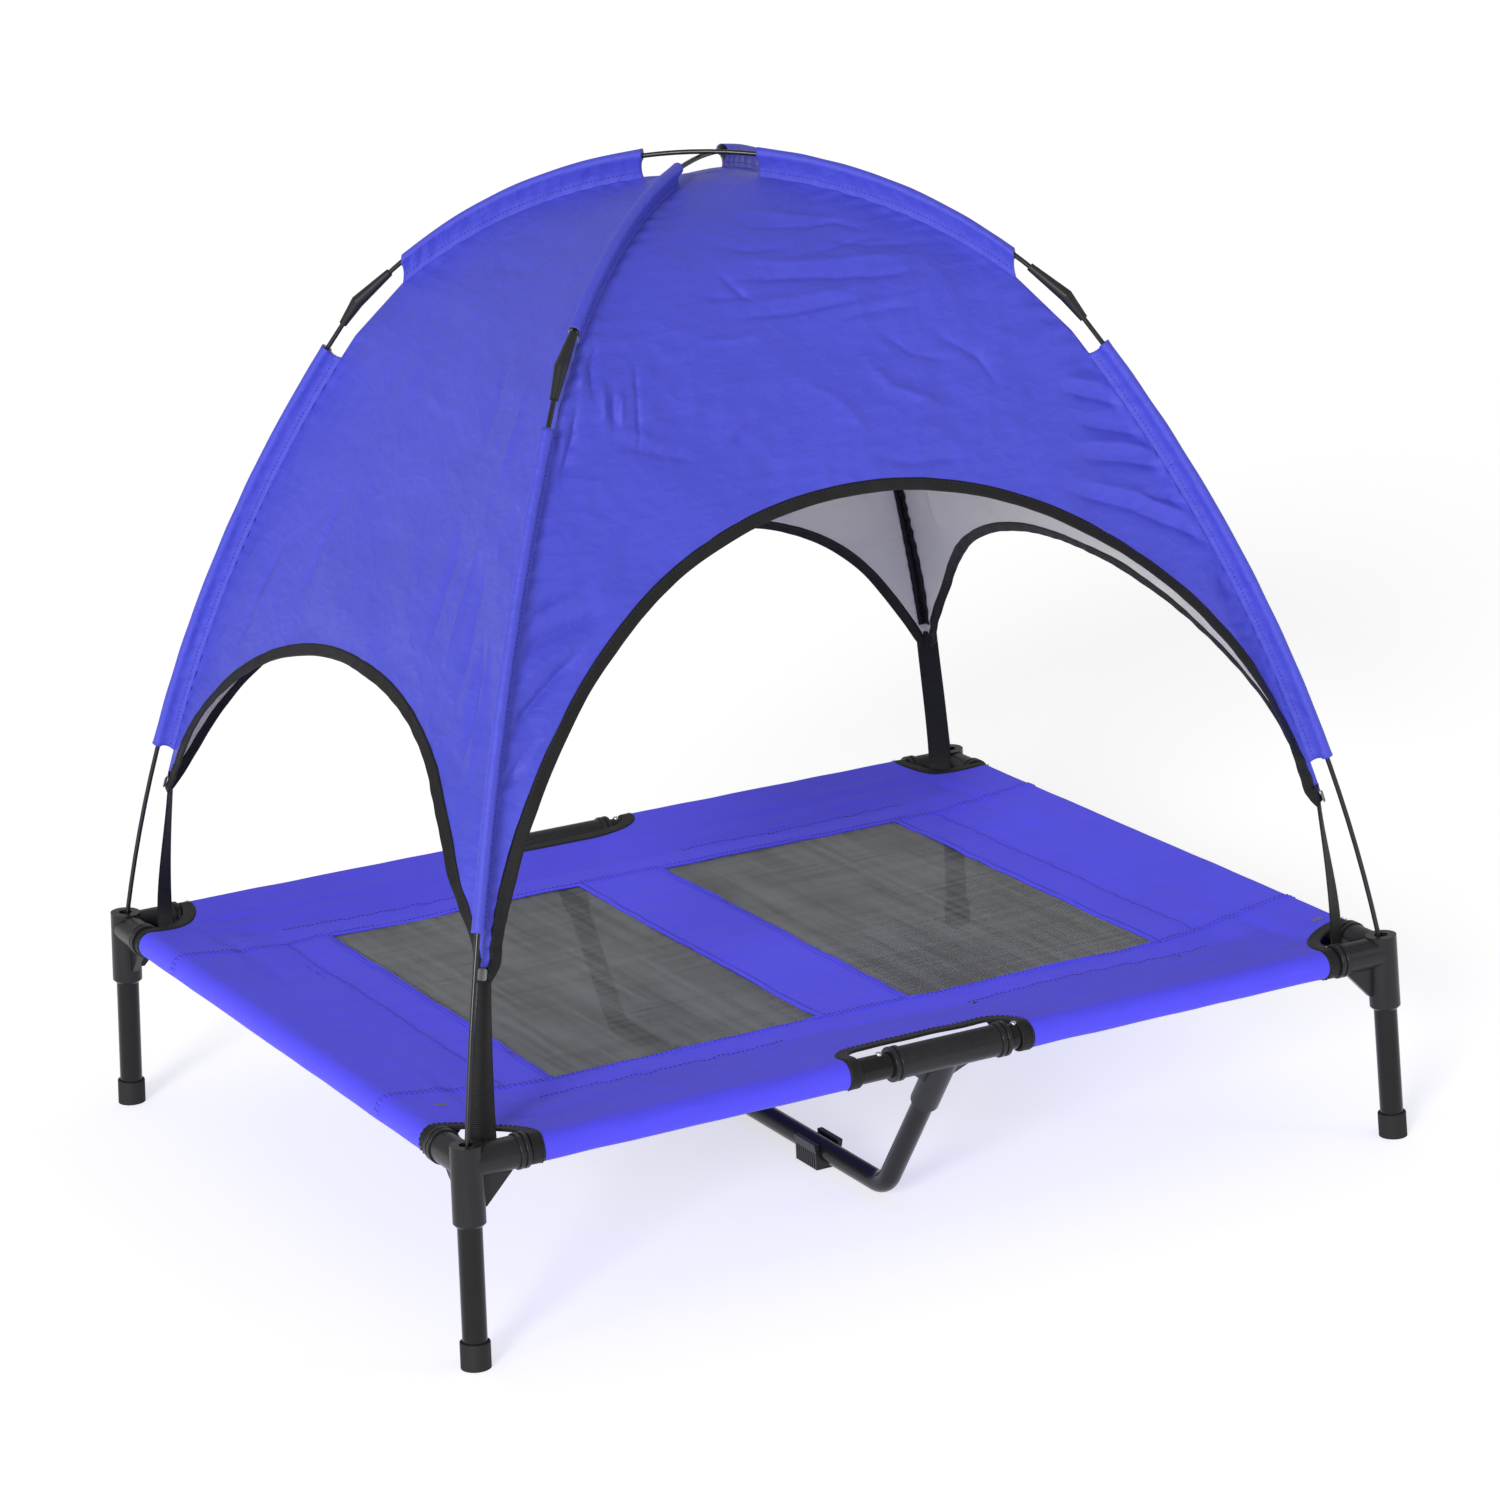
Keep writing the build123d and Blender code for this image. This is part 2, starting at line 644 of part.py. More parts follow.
def arch_outline(half_width, rise, crown, leg, lean, shrink):
    """Opening under a panel: half a curve from the top to the tip, mirrored, down to the floor."""
    top = (0, post_top_z + rise - shrink)
    tip = (half_width - shrink, post_top_z + tip_rise)
    lean = math.radians(lean)
    knee = (tip[0] - leg * math.sin(lean), tip[1] + leg * math.cos(lean) - shrink)
    right = Bezier(top, (crown, top[1]), knee, tip)
    left = Bezier(top, (-crown, top[1]), (-knee[0], knee[1]), (-tip[0], tip[1]))
    foot_right = (tip[0], 0)
    foot_left = (-tip[0], 0)
    sides = [Line(tip, foot_right), Line(foot_right, foot_left), Line(foot_left, (-tip[0], tip[1]))]
    return make_face([right, left] + sides)


def canopy_side(side, run, along, arch_plane, arch):
    """Panel and binding of one side: the seam strip drawn along the side and cut by its arch."""
    strip = extrude(diagonal_plane(*side) * ridge_strip(), amount=run, dir=along)
    shell = strip & wedge(arch_plane)
    out = arch_plane.z_dir
    cloth_hole = extrude(arch_plane * arch_outline(*arch, 0), amount=beyond, dir=out)
    free_hole = extrude(arch_plane * arch_outline(*arch, arch_binding_w), amount=beyond, dir=out)
    return shell - cloth_hole, (shell & cloth_hole) - free_hole


def wedge(arch_plane):
    """Upright prism between the two diagonal planes that bound a side."""
    out = arch_plane.z_dir
    across = arch_plane.x_dir
    width = post_x if abs(across.X) > 0.5 else post_y
    depth = post_y if abs(across.X) > 0.5 else post_x
    start = out * (seam_gap * half_diagonal / (2 * width))
    reach = 2.0
    left = start + (out * depth - across * width) * reach
    right = start + (out * depth + across * width) * reach
    return block([(p.X, p.Y) for p in (start, right, left)], 0, post_top_z + 2 * crown_rise)


def strap_section(x, y, z):
    """Level section of a strap, facing the corner post."""
    return Plane(origin=(x, y, z), x_dir=(1, -1, 0), z_dir=(0, 0, 1)) * Rectangle(strap_w, strap_t)


def hold_down_strap():
    """Webbing strap from a canopy tip down into the gap behind a corner connector."""
    stand = (strap_w / 2) / math.sqrt(2) + socket_d / 2 + strap_clear
    tip = ridge_tip() - strap_t
    top = strap_section(tip * diagonal_x, tip * diagonal_y, post_top_z + tip_rise - end_gap)
    bend = strap_section(post_x - stand, post_y - stand, post_top_z)
    tail = rail_drop + socket_d / 2 + strap_tail
    return loft([bend.face(), top.face()]) + extrude(bend, amount=tail, dir=(0, 0, -1))


# Frame
for name, sides in CORNERS.items():
    parts["corner_connector_" + name] = placed(corner_connector(), *sides)
    parts["leg_tube_" + name] = placed(leg_tube(), *sides)
    parts["foot_cap_" + name] = placed(foot_cap(), *sides)
    parts["side_rail_" + name] = placed(side_rail(), *sides)
    parts["rail_lock_button_" + name] = placed(lock_button(), *sides)
parts["end_rail_right"] = end_rail()
parts["end_rail_left"] = mirror(end_rail(), about=Plane.YZ)
parts["rail_tee_back"], parts["rail_tee_front"] = both_sides(rail_tee())
parts["centre_support"] = centre_support()
parts["support_foot_clip_back"], parts["support_foot_clip_front"] = both_sides(support_foot_clip())
parts["rail_lock_springs"] = Compound(all_corners(lock_spring()))

# Bed
bed_cloth, corner_bindings, tee_bindings, mesh_panel = bed_pieces()
parts["bed_cloth"] = bed_cloth
parts["bed_corner_bindings"] = Compound(corner_bindings)
parts["bed_tee_bindings"] = Compound(tee_bindings)
parts["mesh_panel_right"] = mesh_panel
parts["mesh_panel_left"] = mirror(mesh_panel, about=Plane.YZ)

# Canopy poles, sleeves and straps
for name, sides in CORNERS.items():
    parts["lower_rod_" + name] = lower_rod(*sides)
    parts["rod_elbow_" + name] = rod_elbow(*sides)
    parts["pole_sleeve_" + name] = Compound([lower_sleeve(*sides), upper_sleeve(*sides)])
    parts["hold_down_strap_" + name] = placed(hold_down_strap(), *sides)
parts["upper_rod_over"] = upper_rod(1, -1)
parts["upper_rod_under"] = upper_rod(1, 1)

# Canopy panels
long_half = ridge_tip() * diagonal_x - tip_width
side_half = ridge_tip() * diagonal_y - tip_width
front_arch = (long_half, front_arch_rise, front_arch_crown, front_arch_leg, front_arch_lean)
back_arch = (long_half, back_arch_rise, back_arch_crown, back_arch_leg, back_arch_lean)
side_arch = (side_half, side_arch_rise, side_arch_crown, side_arch_leg, side_arch_lean)
front_panel, front_binding = canopy_side((-1, -1), post_pitch_x, (1, 0, 0), Plane.XZ, front_arch)
low_panel, low_binding = canopy_side((-1, -1), post_pitch_x, (1, 0, 0), Plane.XZ, back_arch)
right_panel, right_binding = canopy_side((1, -1), post_pitch_y, (0, 1, 0), Plane.YZ, side_arch)
for name, panel, binding in (("front", front_panel, front_binding), ("right", right_panel, right_binding)):
    parts["canopy_panel_" + name] = panel
    parts["arch_binding_" + name] = binding
parts["canopy_panel_back"] = mirror(low_panel, about=Plane.XZ)
parts["arch_binding_back"] = mirror(low_binding, about=Plane.XZ)
parts["canopy_panel_left"] = mirror(right_panel, about=Plane.YZ)
parts["arch_binding_left"] = mirror(right_binding, about=Plane.YZ)

os.makedirs("parts", exist_ok=True)
for name, shape in parts.items():
    export_step(shape, os.path.join("parts", name + ".step"))
print(len(parts), "nodes written")
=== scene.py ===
import math

import bpy
import numpy as np
from mathutils import Matrix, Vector
from mathutils.geometry import delaunay_2d_cdt


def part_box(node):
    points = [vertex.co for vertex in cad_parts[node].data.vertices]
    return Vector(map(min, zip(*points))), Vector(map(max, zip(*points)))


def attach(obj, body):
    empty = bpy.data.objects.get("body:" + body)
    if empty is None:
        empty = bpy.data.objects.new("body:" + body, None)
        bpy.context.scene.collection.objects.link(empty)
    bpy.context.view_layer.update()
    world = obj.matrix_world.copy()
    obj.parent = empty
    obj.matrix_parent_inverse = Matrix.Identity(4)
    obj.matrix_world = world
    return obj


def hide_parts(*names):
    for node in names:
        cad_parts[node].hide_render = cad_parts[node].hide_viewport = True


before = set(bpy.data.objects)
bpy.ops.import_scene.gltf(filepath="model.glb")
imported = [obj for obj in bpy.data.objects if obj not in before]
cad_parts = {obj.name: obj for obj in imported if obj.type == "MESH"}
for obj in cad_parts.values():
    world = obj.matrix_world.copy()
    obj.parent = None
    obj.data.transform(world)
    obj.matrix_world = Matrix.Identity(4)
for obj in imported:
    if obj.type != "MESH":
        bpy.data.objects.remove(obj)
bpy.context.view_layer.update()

# Raised pet cot with a lift-off dome canopy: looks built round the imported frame.
# Metres, +Z up, X along the long side, -Y is the front.
MM = 0.001

# Frame sizes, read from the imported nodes
end_low, end_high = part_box("end_rail_right")
side_low, side_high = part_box("side_rail_back_right")
post_x = (end_low.x + end_high.x) / 2
post_y = (side_low.y + side_high.y) / 2
rail_z = (end_low.z + end_high.z) / 2
rail_r = (end_high.z - end_low.z) / 2
post_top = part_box("corner_connector_back_right")[1].z
half_diagonal = math.hypot(post_x, post_y)
diagonal_x = post_x / half_diagonal
diagonal_y = post_y / half_diagonal
CORNERS = {
    "front_left": (-1, -1),
    "front_right": (1, -1),
    "back_right": (1, 1),
    "back_left": (-1, 1),
}
FLIP = np.array([-1, 1])

# Canopy poles and seams
rod_r = 2.1 * MM
rod_inset = 2.2 * MM
lower_rod_bow = 33 * MM
elbow_inset = 268.5 * MM
elbow_rise = 568.5 * MM
elbow_lean = math.radians(45)
elbow_len = 64 * MM
crown_rise = 693 * MM
pole_drop = 4.5 * MM
fin_depth = 15 * MM
fin_bottom_rise = 160 * MM
fin_gap_below_elbow = 27 * MM
fin_gap_above_elbow = 16 * MM
fin_gap_at_crown = 50 * MM

# Canopy cloth
tip_rise = 129 * MM
tip_width = 5 * MM
binding_w = 11 * MM
skin_t = 0.9 * MM
panel_sag = 8 * MM
seam_below_tip = 40 * MM

# Arches as rise, crown reach, leg length and leg lean
FRONT_ARCH = (446 * MM, 247 * MM, 101 * MM, math.radians(10))
BACK_ARCH = (306 * MM, 259 * MM, 132 * MM, math.radians(32.5))
SIDE_ARCH = (306 * MM, 158 * MM, 118 * MM, math.radians(24))

# Canopy sides, going round from the front: ways across and out, shares of the ridge distance, arch
SIDES = {
    "front": ((1, 0), (0, -1), diagonal_x, diagonal_y, FRONT_ARCH),
    "right": ((0, 1), (1, 0), diagonal_y, diagonal_x, SIDE_ARCH),
    "back": ((-1, 0), (0, 1), diagonal_x, diagonal_y, BACK_ARCH),
    "left": ((0, -1), (-1, 0), diagonal_y, diagonal_x, SIDE_ARCH),
}

# How far the loose edge of each arch flares out on its left and its right leg, seen from outside
FLARES = {
    "front": (7 * MM, 15 * MM),
    "right": (5 * MM, 11 * MM),
    "back": (6 * MM, 6 * MM),
    "left": (5 * MM, 17 * MM),
}
flare_reach = 30 * MM
flare_change = 120 * MM
flare_start = 70 * MM
flare_loss = 0.75
flare_hold = 30 * MM

# Slack of the canopy cloth: where it sags, what seams and tapes hold flat, and the gathers beside them
sag_reach = 150 * MM
sag_share = 0.5
seam_hold = 14 * MM
arch_hold = 32 * MM
arch_ease = 6 * MM
gather_h = 1.5 * MM
gather_pitch = 16 * MM
gather_hold = 4 * MM
gather_reach = 15 * MM
gather_end = 60 * MM
tug_h = 0.2 * MM
tug_pitch = 23 * MM
tug_hold = 40 * MM
tug_reach = 20 * MM
touching = 0.01 * MM
CRUMPLE_SEEDS = {"front": 3, "right": 14, "back": 25, "left": 36}

# Every fold: factors on its listed height and width, crispness of its crest, share that fades at each end
fold_height = 1.2
fold_width = 0.6
fold_crest = 1.2
fold_fade = 0.35


# Mesh helpers
def new_object(name, data):
    """An object in the scene."""
    made = bpy.data.objects.new(name, data)
    bpy.context.scene.collection.objects.link(made)
    return made


def piece(name, points, faces, body, materials):
    """A smooth mesh object that rides on a body."""
    mesh = bpy.data.meshes.new(name)
    mesh.from_pydata(np.asarray(points).tolist(), [], [list(map(int, f)) for f in faces])
    mesh.polygons.foreach_set("use_smooth", [True] * len(mesh.polygons))
    for material in materials:
        mesh.materials.append(material)
    mesh.update()
    made = new_object(name, mesh)
    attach(made, body)
    return made


def set_uv(made, flat):
    """Cloth coordinates in metres, one pair for each vertex, as the UV map."""
    layer = made.data.uv_layers.new(name="cloth")
    index = np.zeros(len(made.data.loops), np.int32)
    made.data.loops.foreach_get("vertex_index", index)
    layer.data.foreach_set("uv", np.asarray(flat, np.float32)[index].ravel())


def thicken(made, thickness, inner=0):
    """Give a sheet its thickness on the inner side; inner is the step to the inner side's material."""
    solid = made.modifiers.new("thickness", "SOLIDIFY")
    solid.thickness = thickness
    solid.offset = -1
    solid.use_even_offset = False
    solid.material_offset = inner


def grid_faces(rows, columns, closed=False):
    """Quads of a grid of points stored row by row."""
    last = columns if closed else columns - 1
    row, column = np.meshgrid(np.arange(rows - 1), np.arange(last), indexing="ij")
    beside = (column + 1) % columns
    low = row * columns
    high = low + columns
    return np.stack([low + column, low + beside, high + beside, high + column], -1).reshape(-1, 4)


def unit(vectors):
    """Vectors scaled to length 1."""
    return vectors / np.maximum(np.linalg.norm(vectors, axis=-1, keepdims=True), 1e-12)


def lengths(line):
    """Distance along a line at each of its points."""
    return np.concatenate([[0], np.cumsum(np.linalg.norm(np.diff(line, axis=0), axis=1))])


def along_line(at, along, line):
    """Points of a line at distances along it."""
    return np.stack([np.interp(at, along, column) for column in line.T], -1)


def resample(line, step):
    """The same line at even steps, with the distance along it."""
    along = lengths(line)
    at = np.linspace(0, along[-1], max(int(along[-1] / step), 2) + 1)
    return along_line(at, along, line), at


def bezier(a, b, c, d, count):
    """Points of a curve from a to d, drawn towards b and then c."""
    t = np.linspace(0, 1, count)[:, None]
    return (1 - t) ** 3 * a + 3 * t * (1 - t) ** 2 * b + 3 * t ** 2 * (1 - t) * c + t ** 3 * d


def round_turns(count):
    """Angles once round, from 0."""
    return np.linspace(0, 2 * math.pi, count, endpoint=False)


def edge_frame(line):
    """Unit normals on the left of a flat line, by its neighbours."""
    run = unit(np.gradient(line, axis=0))
    return np.stack([-run[:, 1], run[:, 0]], -1)


def smooth_step(x):
    """0 below 0, 1 above 1, smooth between."""
    x = np.clip(x, 0, 1)
    return x * x * (3 - 2 * x)


def ripple(points, wavelength, count, seed):
    """Soft random waves over flat points, from -1 to 1 or so: plane waves of nearby lengths."""
    draw = np.random.default_rng(seed)
    total = np.zeros(len(points))
    for _ in range(count):
        angle = draw.uniform(0, 2 * math.pi)
        length = wavelength * draw.uniform(0.7, 1.4)
        phase = draw.uniform(0, 2 * math.pi)
        along = points[:, 0] * math.cos(angle) + points[:, 1] * math.sin(angle)
        total += np.sin(2 * math.pi * along / length + phase)
    return total / math.sqrt(count)


def ripple_along(at, wavelength, seed, count=6, across=0.0):
    """Random waves along a line, at a distance across it."""
    return ripple(np.stack([at, np.full(len(at), across)], -1), wavelength, count, seed)


def fold(points, path, width, height):
    """A raised or sunk fold along a line on flat cloth, crisp at its crest and fading at both ends."""
    path = np.asarray(path, float) * MM
    spans = np.linalg.norm(np.diff(path, axis=0), axis=1)
    best = np.full(len(points), np.inf)
    place = np.zeros(len(points))
    start = 0.0
    for a, b, span in zip(path[:-1], path[1:], spans):
        t = np.clip(((points - a) @ (b - a)) / span ** 2, 0, 1)
        away = np.linalg.norm(points - a - t[:, None] * (b - a), axis=1)
        nearer = away < best
        best = np.where(nearer, away, best)
        place = np.where(nearer, (start + t * span) / spans.sum(), place)
        start += span
    fade = smooth_step(place / fold_fade) * smooth_step((1 - place) / fold_fade)
    return fold_height * height * MM * fade * np.exp(-(best / (fold_width * width * MM)) ** fold_crest)


def corner_axes(corner):
    """Ways out along a corner's diagonal, and level across it."""
    side_x, side_y = CORNERS[corner]
    out = np.array([side_x * diagonal_x, side_y * diagonal_y, 0])
    across = np.array([-side_y * diagonal_y, side_x * diagonal_x, 0])
    return out, across


# Pole and seam lines in their upright diagonal plane
class Pole:
    """One half of a canopy pole, or of the seam at an inset from it, as (distance from the axis, height)."""

    def __init__(self, inset, crown_drop):
        middle = np.array([half_diagonal - elbow_inset, post_top + elbow_rise])
        normal = np.array([math.cos(elbow_lean), math.sin(elbow_lean)])
        along = np.array([math.sin(elbow_lean), -math.cos(elbow_lean)]) * elbow_len / 2
        foot = middle + along
        self.low_end = foot - inset * normal
        self.high_end = middle - along - inset * normal
        self.crown_z = post_top + crown_rise - crown_drop - inset
        drop = self.crown_z - self.high_end[1]
        self.upper_r = (self.high_end[0] ** 2 + drop ** 2) / (2 * drop)
        self.upper_z = self.crown_z - self.upper_r
        base = np.array([half_diagonal - rod_inset, post_top])
        chord = np.linalg.norm(foot - base)
        axis_r = (chord ** 2 / 4 + lower_rod_bow ** 2) / (2 * lower_rod_bow)
        across = np.array([foot[1] - base[1], base[0] - foot[0]]) / chord
        self.centre = (base + foot) / 2 - across * (axis_r - lower_rod_bow)
        self.lower_r = axis_r - inset

    def lower_turn(self, z):
        """Angle of the lower arc's point at a height."""
        return math.asin((z - self.centre[1]) / self.lower_r)

    def low_end_turn(self):
        """Angle of the lower arc at the elbow."""
        return math.atan2(self.low_end[1] - self.centre[1], self.low_end[0] - self.centre[0])

    def lower(self, turn):
        """Points of the lower arc at angles."""
        return self.centre + self.lower_r * np.stack([np.cos(turn), np.sin(turn)], -1)

    def high_end_turn(self):
        """Angle of the upper arc from the upright at the elbow."""
        return math.asin(self.high_end[0] / self.upper_r)

    def upper(self, turn):
        """Points of the upper arc at angles from the upright."""
        return np.array([0, self.upper_z]) + self.upper_r * np.stack([np.sin(turn), np.cos(turn)], -1)


tip_row = 30
seam_steps = 300
edge_steps = 260
slope_step = 2 * MM


def seam_line(inset):
    """Points of a canopy seam from below the tip to the crown; the tip is at tip_row."""
    seam = Pole(inset, pole_drop)
    start_turn = seam.lower_turn(post_top + tip_rise - seam_below_tip)
    tip_turn = seam.lower_turn(post_top + tip_rise)
    below = seam.lower(np.linspace(start_turn, tip_turn, tip_row, endpoint=False))
    low = seam.lower(np.linspace(tip_turn, seam.low_end_turn(), seam_steps))
    high = seam.upper(np.linspace(seam.high_end_turn(), 0, seam_steps))
    return np.concatenate([below, low, high])


SEAM = seam_line(fin_depth)
SEAM_S = lengths(SEAM) - lengths(SEAM)[tip_row]
seam_tip_r = SEAM[tip_row, 0]


class Panel:
    """One canopy side: flat cloth of coordinates (across, up) bent to the seams' curve."""

    def __init__(self, name):
        self.name = name
        across, out, self.width, self.depth, self.arch = SIDES[name]
        self.across = np.array([*across, 0.0])
        self.out = np.array([*out, 0.0])
        profile = lengths(SEAM * np.array([self.depth, 1]))
        self.up = profile - profile[tip_row]
        self.total = self.up[-1]
        self.half = seam_tip_r * self.width
        self.free_edge = self.edge(binding_w)

    def seam(self, up):
        """Distance from the axis and height of the seams at a distance up the panel."""
        return np.interp(up, self.up, SEAM[:, 0]), np.interp(up, self.up, SEAM[:, 1])

    def ridge(self, up):
        """Half the panel's width at a distance up it."""
        return self.seam(up)[0] * self.width

    def base(self, flat):
        """Points and outward normals of the plain bent panel."""
        up = flat[:, 1]
        r, z = self.seam(up)
        points = flat[:, :1] * self.across + (r * self.depth)[:, None] * self.out
        points[:, 2] += z
        ahead_r, ahead_z = self.seam(np.clip(up + slope_step, self.up[0], self.total))
        behind_r, behind_z = self.seam(np.clip(up - slope_step, self.up[0], self.total))
        normal = (ahead_z - behind_z)[:, None] * self.out
        normal[:, 2] -= (ahead_r - behind_r) * self.depth
        return points, unit(normal)

    def edge(self, shrink):
        """The arch's edge on the flat cloth, from the left tip to the right one."""
        rise, crown, leg, lean = self.arch
        top = np.array([0, post_top + rise - shrink])
        tip = np.array([self.half - tip_width - shrink, post_top + tip_rise])
        knee = tip + np.array([-leg * math.sin(lean), leg * math.cos(lean) - shrink])
        right = bezier(top, np.array([crown, top[1]]), knee, tip, edge_steps)
        line = np.concatenate([right[:0:-1] * FLIP, right])
        return np.stack([line[:, 0], np.interp(line[:, 1], SEAM[:, 1], self.up)], -1)

    def cloth(self, flat):
        """Points and normals of the panel with its sag, folds and puckers."""
        points, normals = self.base(flat)
        return points + normals * self.relief(flat)[:, None], normals

    def relief(self, flat):
        """How far the cloth stands out from the plain panel."""
        ridge = np.maximum(self.ridge(flat[:, 1]), 1 * MM)
        to_seam = np.maximum(ridge - np.abs(flat[:, 0]), 0)
        to_arch = self.arch_distance(flat)
        inside = np.clip(np.abs(flat[:, 0]) / ridge, 0, 1)
        climb = flat[:, 1] / self.total
        sag = -panel_sag * (1 - inside ** 2) * smooth_step(to_arch / sag_reach)
        sag *= smooth_step((1 - climb) / sag_share)
        held = smooth_step(to_seam / seam_hold) * smooth_step((to_arch + arch_ease) / arch_hold)
        total = sag + held * self.folds(flat) + self.puckers(flat, to_seam, to_arch)
        return total + smooth_step(to_seam / flare_hold) * self.flare(flat, to_arch)

    def arch_distance(self, flat):
        """Distance of flat points from the arch's free edge."""
        half = len(self.free_edge) // 2
        above = flat[:, 1] - np.interp(flat[:, 0], self.free_edge[:, 0], self.free_edge[:, 1])
        leg = self.free_edge[half:][::-1]
        beside = np.abs(flat[:, 0]) - np.interp(flat[:, 1], leg[:, 1], leg[:, 0])
        beside = np.where(flat[:, 1] > leg[-1, 1], 1.0, beside)
        above = np.maximum(above, touching)
        beside = np.maximum(beside, touching)
        return above * beside / np.hypot(above, beside)

    def flare(self, flat, to_arch):
        """Outward lean of the loose edge along the arch's legs."""
        left, right = FLARES[self.name]
        side = smooth_step(0.5 + flat[:, 0] / flare_change)
        crown = self.free_edge[:, 1].max()
        leg = smooth_step(flat[:, 1] / flare_start)
        leg *= 1 - flare_loss * smooth_step((flat[:, 1] / crown - 0.5) / 0.5)
        return (left + (right - left) * side) * leg * np.exp(-to_arch / flare_reach)

    def puckers(self, flat, to_seam, to_arch):
        """Small gathers along the ridge seams and along the arch."""
        across, up = flat.T
        side = np.sign(across) * (1 if self.name in ("front", "right") else 2)
        wave = np.sin(2 * math.pi * up / gather_pitch + 2.4 * np.sin(up / (31 * MM) + side))
        patch = 0.3 + 0.7 * np.sin(up / (47 * MM) + 1.7 * side) ** 2
        near_seam = smooth_step(to_seam / gather_hold) * np.exp(-to_seam / gather_reach)
        near_seam *= smooth_step((self.total - up) / gather_end)
        tug = np.sin(2 * math.pi * across / tug_pitch + 2 * np.sin(across / (37 * MM)))
        near_arch = np.exp(-to_arch / tug_reach) * smooth_step(to_seam / tug_hold)
        return gather_h * wave * patch * near_seam + tug_h * tug * near_arch

    def folds(self, flat):
        """Folds and crumples of this side's cloth."""
        drawn = FRONT_FOLDS if self.name == "front" else SIDE_FOLDS
        turned = flat if self.name in ("front", "left") else flat * FLIP
        seed = CRUMPLE_SEEDS[self.name]
        share = 1.0 if self.name == "front" else 0.6
        total = 1.2 * MM * ripple(flat, 150 * MM, 9, seed)
        total += 0.5 * MM * ripple(flat, 60 * MM, 9, seed + 1)
        patch = smooth_step(0.45 + 0.9 * ripple(flat, 210 * MM, 5, seed + 3))
        for height, size, step in ((1.0, 65, 2), (0.45, 34, 4)):
            total += share * height * MM * (1 - np.abs(ripple(flat, size * MM, 5, seed + step))) * patch
        for path, width, height in drawn:
            total += fold(turned, path, width, height)
        return total


# Folds as (across, up) points in millimetres, then width and height; the front ones follow the photo
FRONT_FOLDS = [
    ([(-75, 534), (-48, 522), (11, 517), (71, 508), (141, 501)], 6, -3.6),
    ([(-60, 545), (11, 531), (80, 524), (150, 515)], 9, 2.4),
    ([(-27, 589), (-6, 574), (36, 570), (70, 569), (99, 549)], 5, -2.8),
    ([(-30, 600), (30, 584), (95, 566)], 7, 1.8),
    ([(-83, 484), (-3, 484), (25, 486), (93, 487)], 5, -2.6),
    ([(-75, 495), (0, 497), (90, 499)], 7, 1.8),
    ([(-1, 533), (82, 545), (115, 543)], 5, -2.2),
    ([(-62, 530), (-37, 493)], 5, -2.6),
    ([(-58, 560), (-20, 548), (24, 549)], 5, -2.2),
    ([(-95, 512), (-60, 505), (-20, 506)], 5, -2.0),
    ([(20, 470), (70, 474), (130, 470)], 6, -1.8),
    ([(-110, 470), (-70, 466), (-30, 470)], 6, 1.8),
    ([(40, 556), (90, 536), (150, 530)], 6, -1.8),
    ([(-195, 493), (-213, 471), (-222, 430)], 7, 4.0),
    ([(-188, 485), (-205, 462), (-212, 425)], 7, -4.0),
    ([(-231, 448), (-246, 412), (-254, 380)], 8, 4.0),
    ([(-224, 440), (-237, 405), (-262, 362)], 7, -4.0),
    ([(-198, 450), (-208, 405)], 6, 3.2),
    ([(-190, 445), (-199, 402)], 6, -3.0),
    ([(-184, 440), (-193, 400)], 6, 3.0),
    ([(-162, 470), (-172, 425), (-183, 376)], 4, -2.4),
    ([(-215, 398), (-170, 382), (-120, 364)], 4, -2.4),
    ([(-200, 406), (-162, 393)], 5, 2.0),
    ([(-67, 401), (-85, 388), (-100, 378)], 6, -2.6),
    ([(215, 379), (255, 367), (295, 352)], 8, -4.8),
    ([(215, 392), (250, 381), (285, 370)], 9, 3.6),
    ([(220, 351), (260, 339), (310, 323)], 8, -5.0),
    ([(212, 320), (265, 311), (325, 293)], 9, -5.4),
    ([(215, 334), (265, 325), (315, 308)], 9, 3.8),
    ([(262, 283), (300, 272), (335, 256)], 8, -4.8),
    ([(184, 300), (260, 270), (340, 225)], 9, -4.8),
    ([(200, 306), (270, 280), (335, 243)], 10, 3.6),
    ([(300, 249), (330, 232), (352, 214)], 9, -4.6),
    ([(328, 204), (348, 182), (366, 158)], 9, -4.4),
    ([(-336, 248), (-300, 271), (-270, 285)], 7, -3.8),
    ([(-324, 257), (-290, 272), (-255, 282)], 7, 3.2),
    ([(-344, 226), (-307, 246), (-225, 266)], 8, -4.6),
    ([(-345, 205), (-310, 226), (-250, 250)], 9, 3.8),
    ([(-362, 166), (-323, 197), (-301, 214), (-262, 240)], 9, -5.2),
    ([(-352, 148), (-309, 175), (-285, 196)], 9, 3.8),
    ([(-368, 128), (-338, 159), (-315, 176)], 8, -4.0),
    ([(60, 460), (90, 430), (140, 415)], 9, -2.6),
    ([(40, 440), (60, 405), (110, 380)], 10, 2.6),
    ([(110, 450), (150, 420), (165, 380)], 9, -2.6),
    ([(20, 350), (60, 338), (120, 336)], 7, -2.4),
    ([(-30, 430), (10, 400), (30, 365)], 11, 2.0),
]
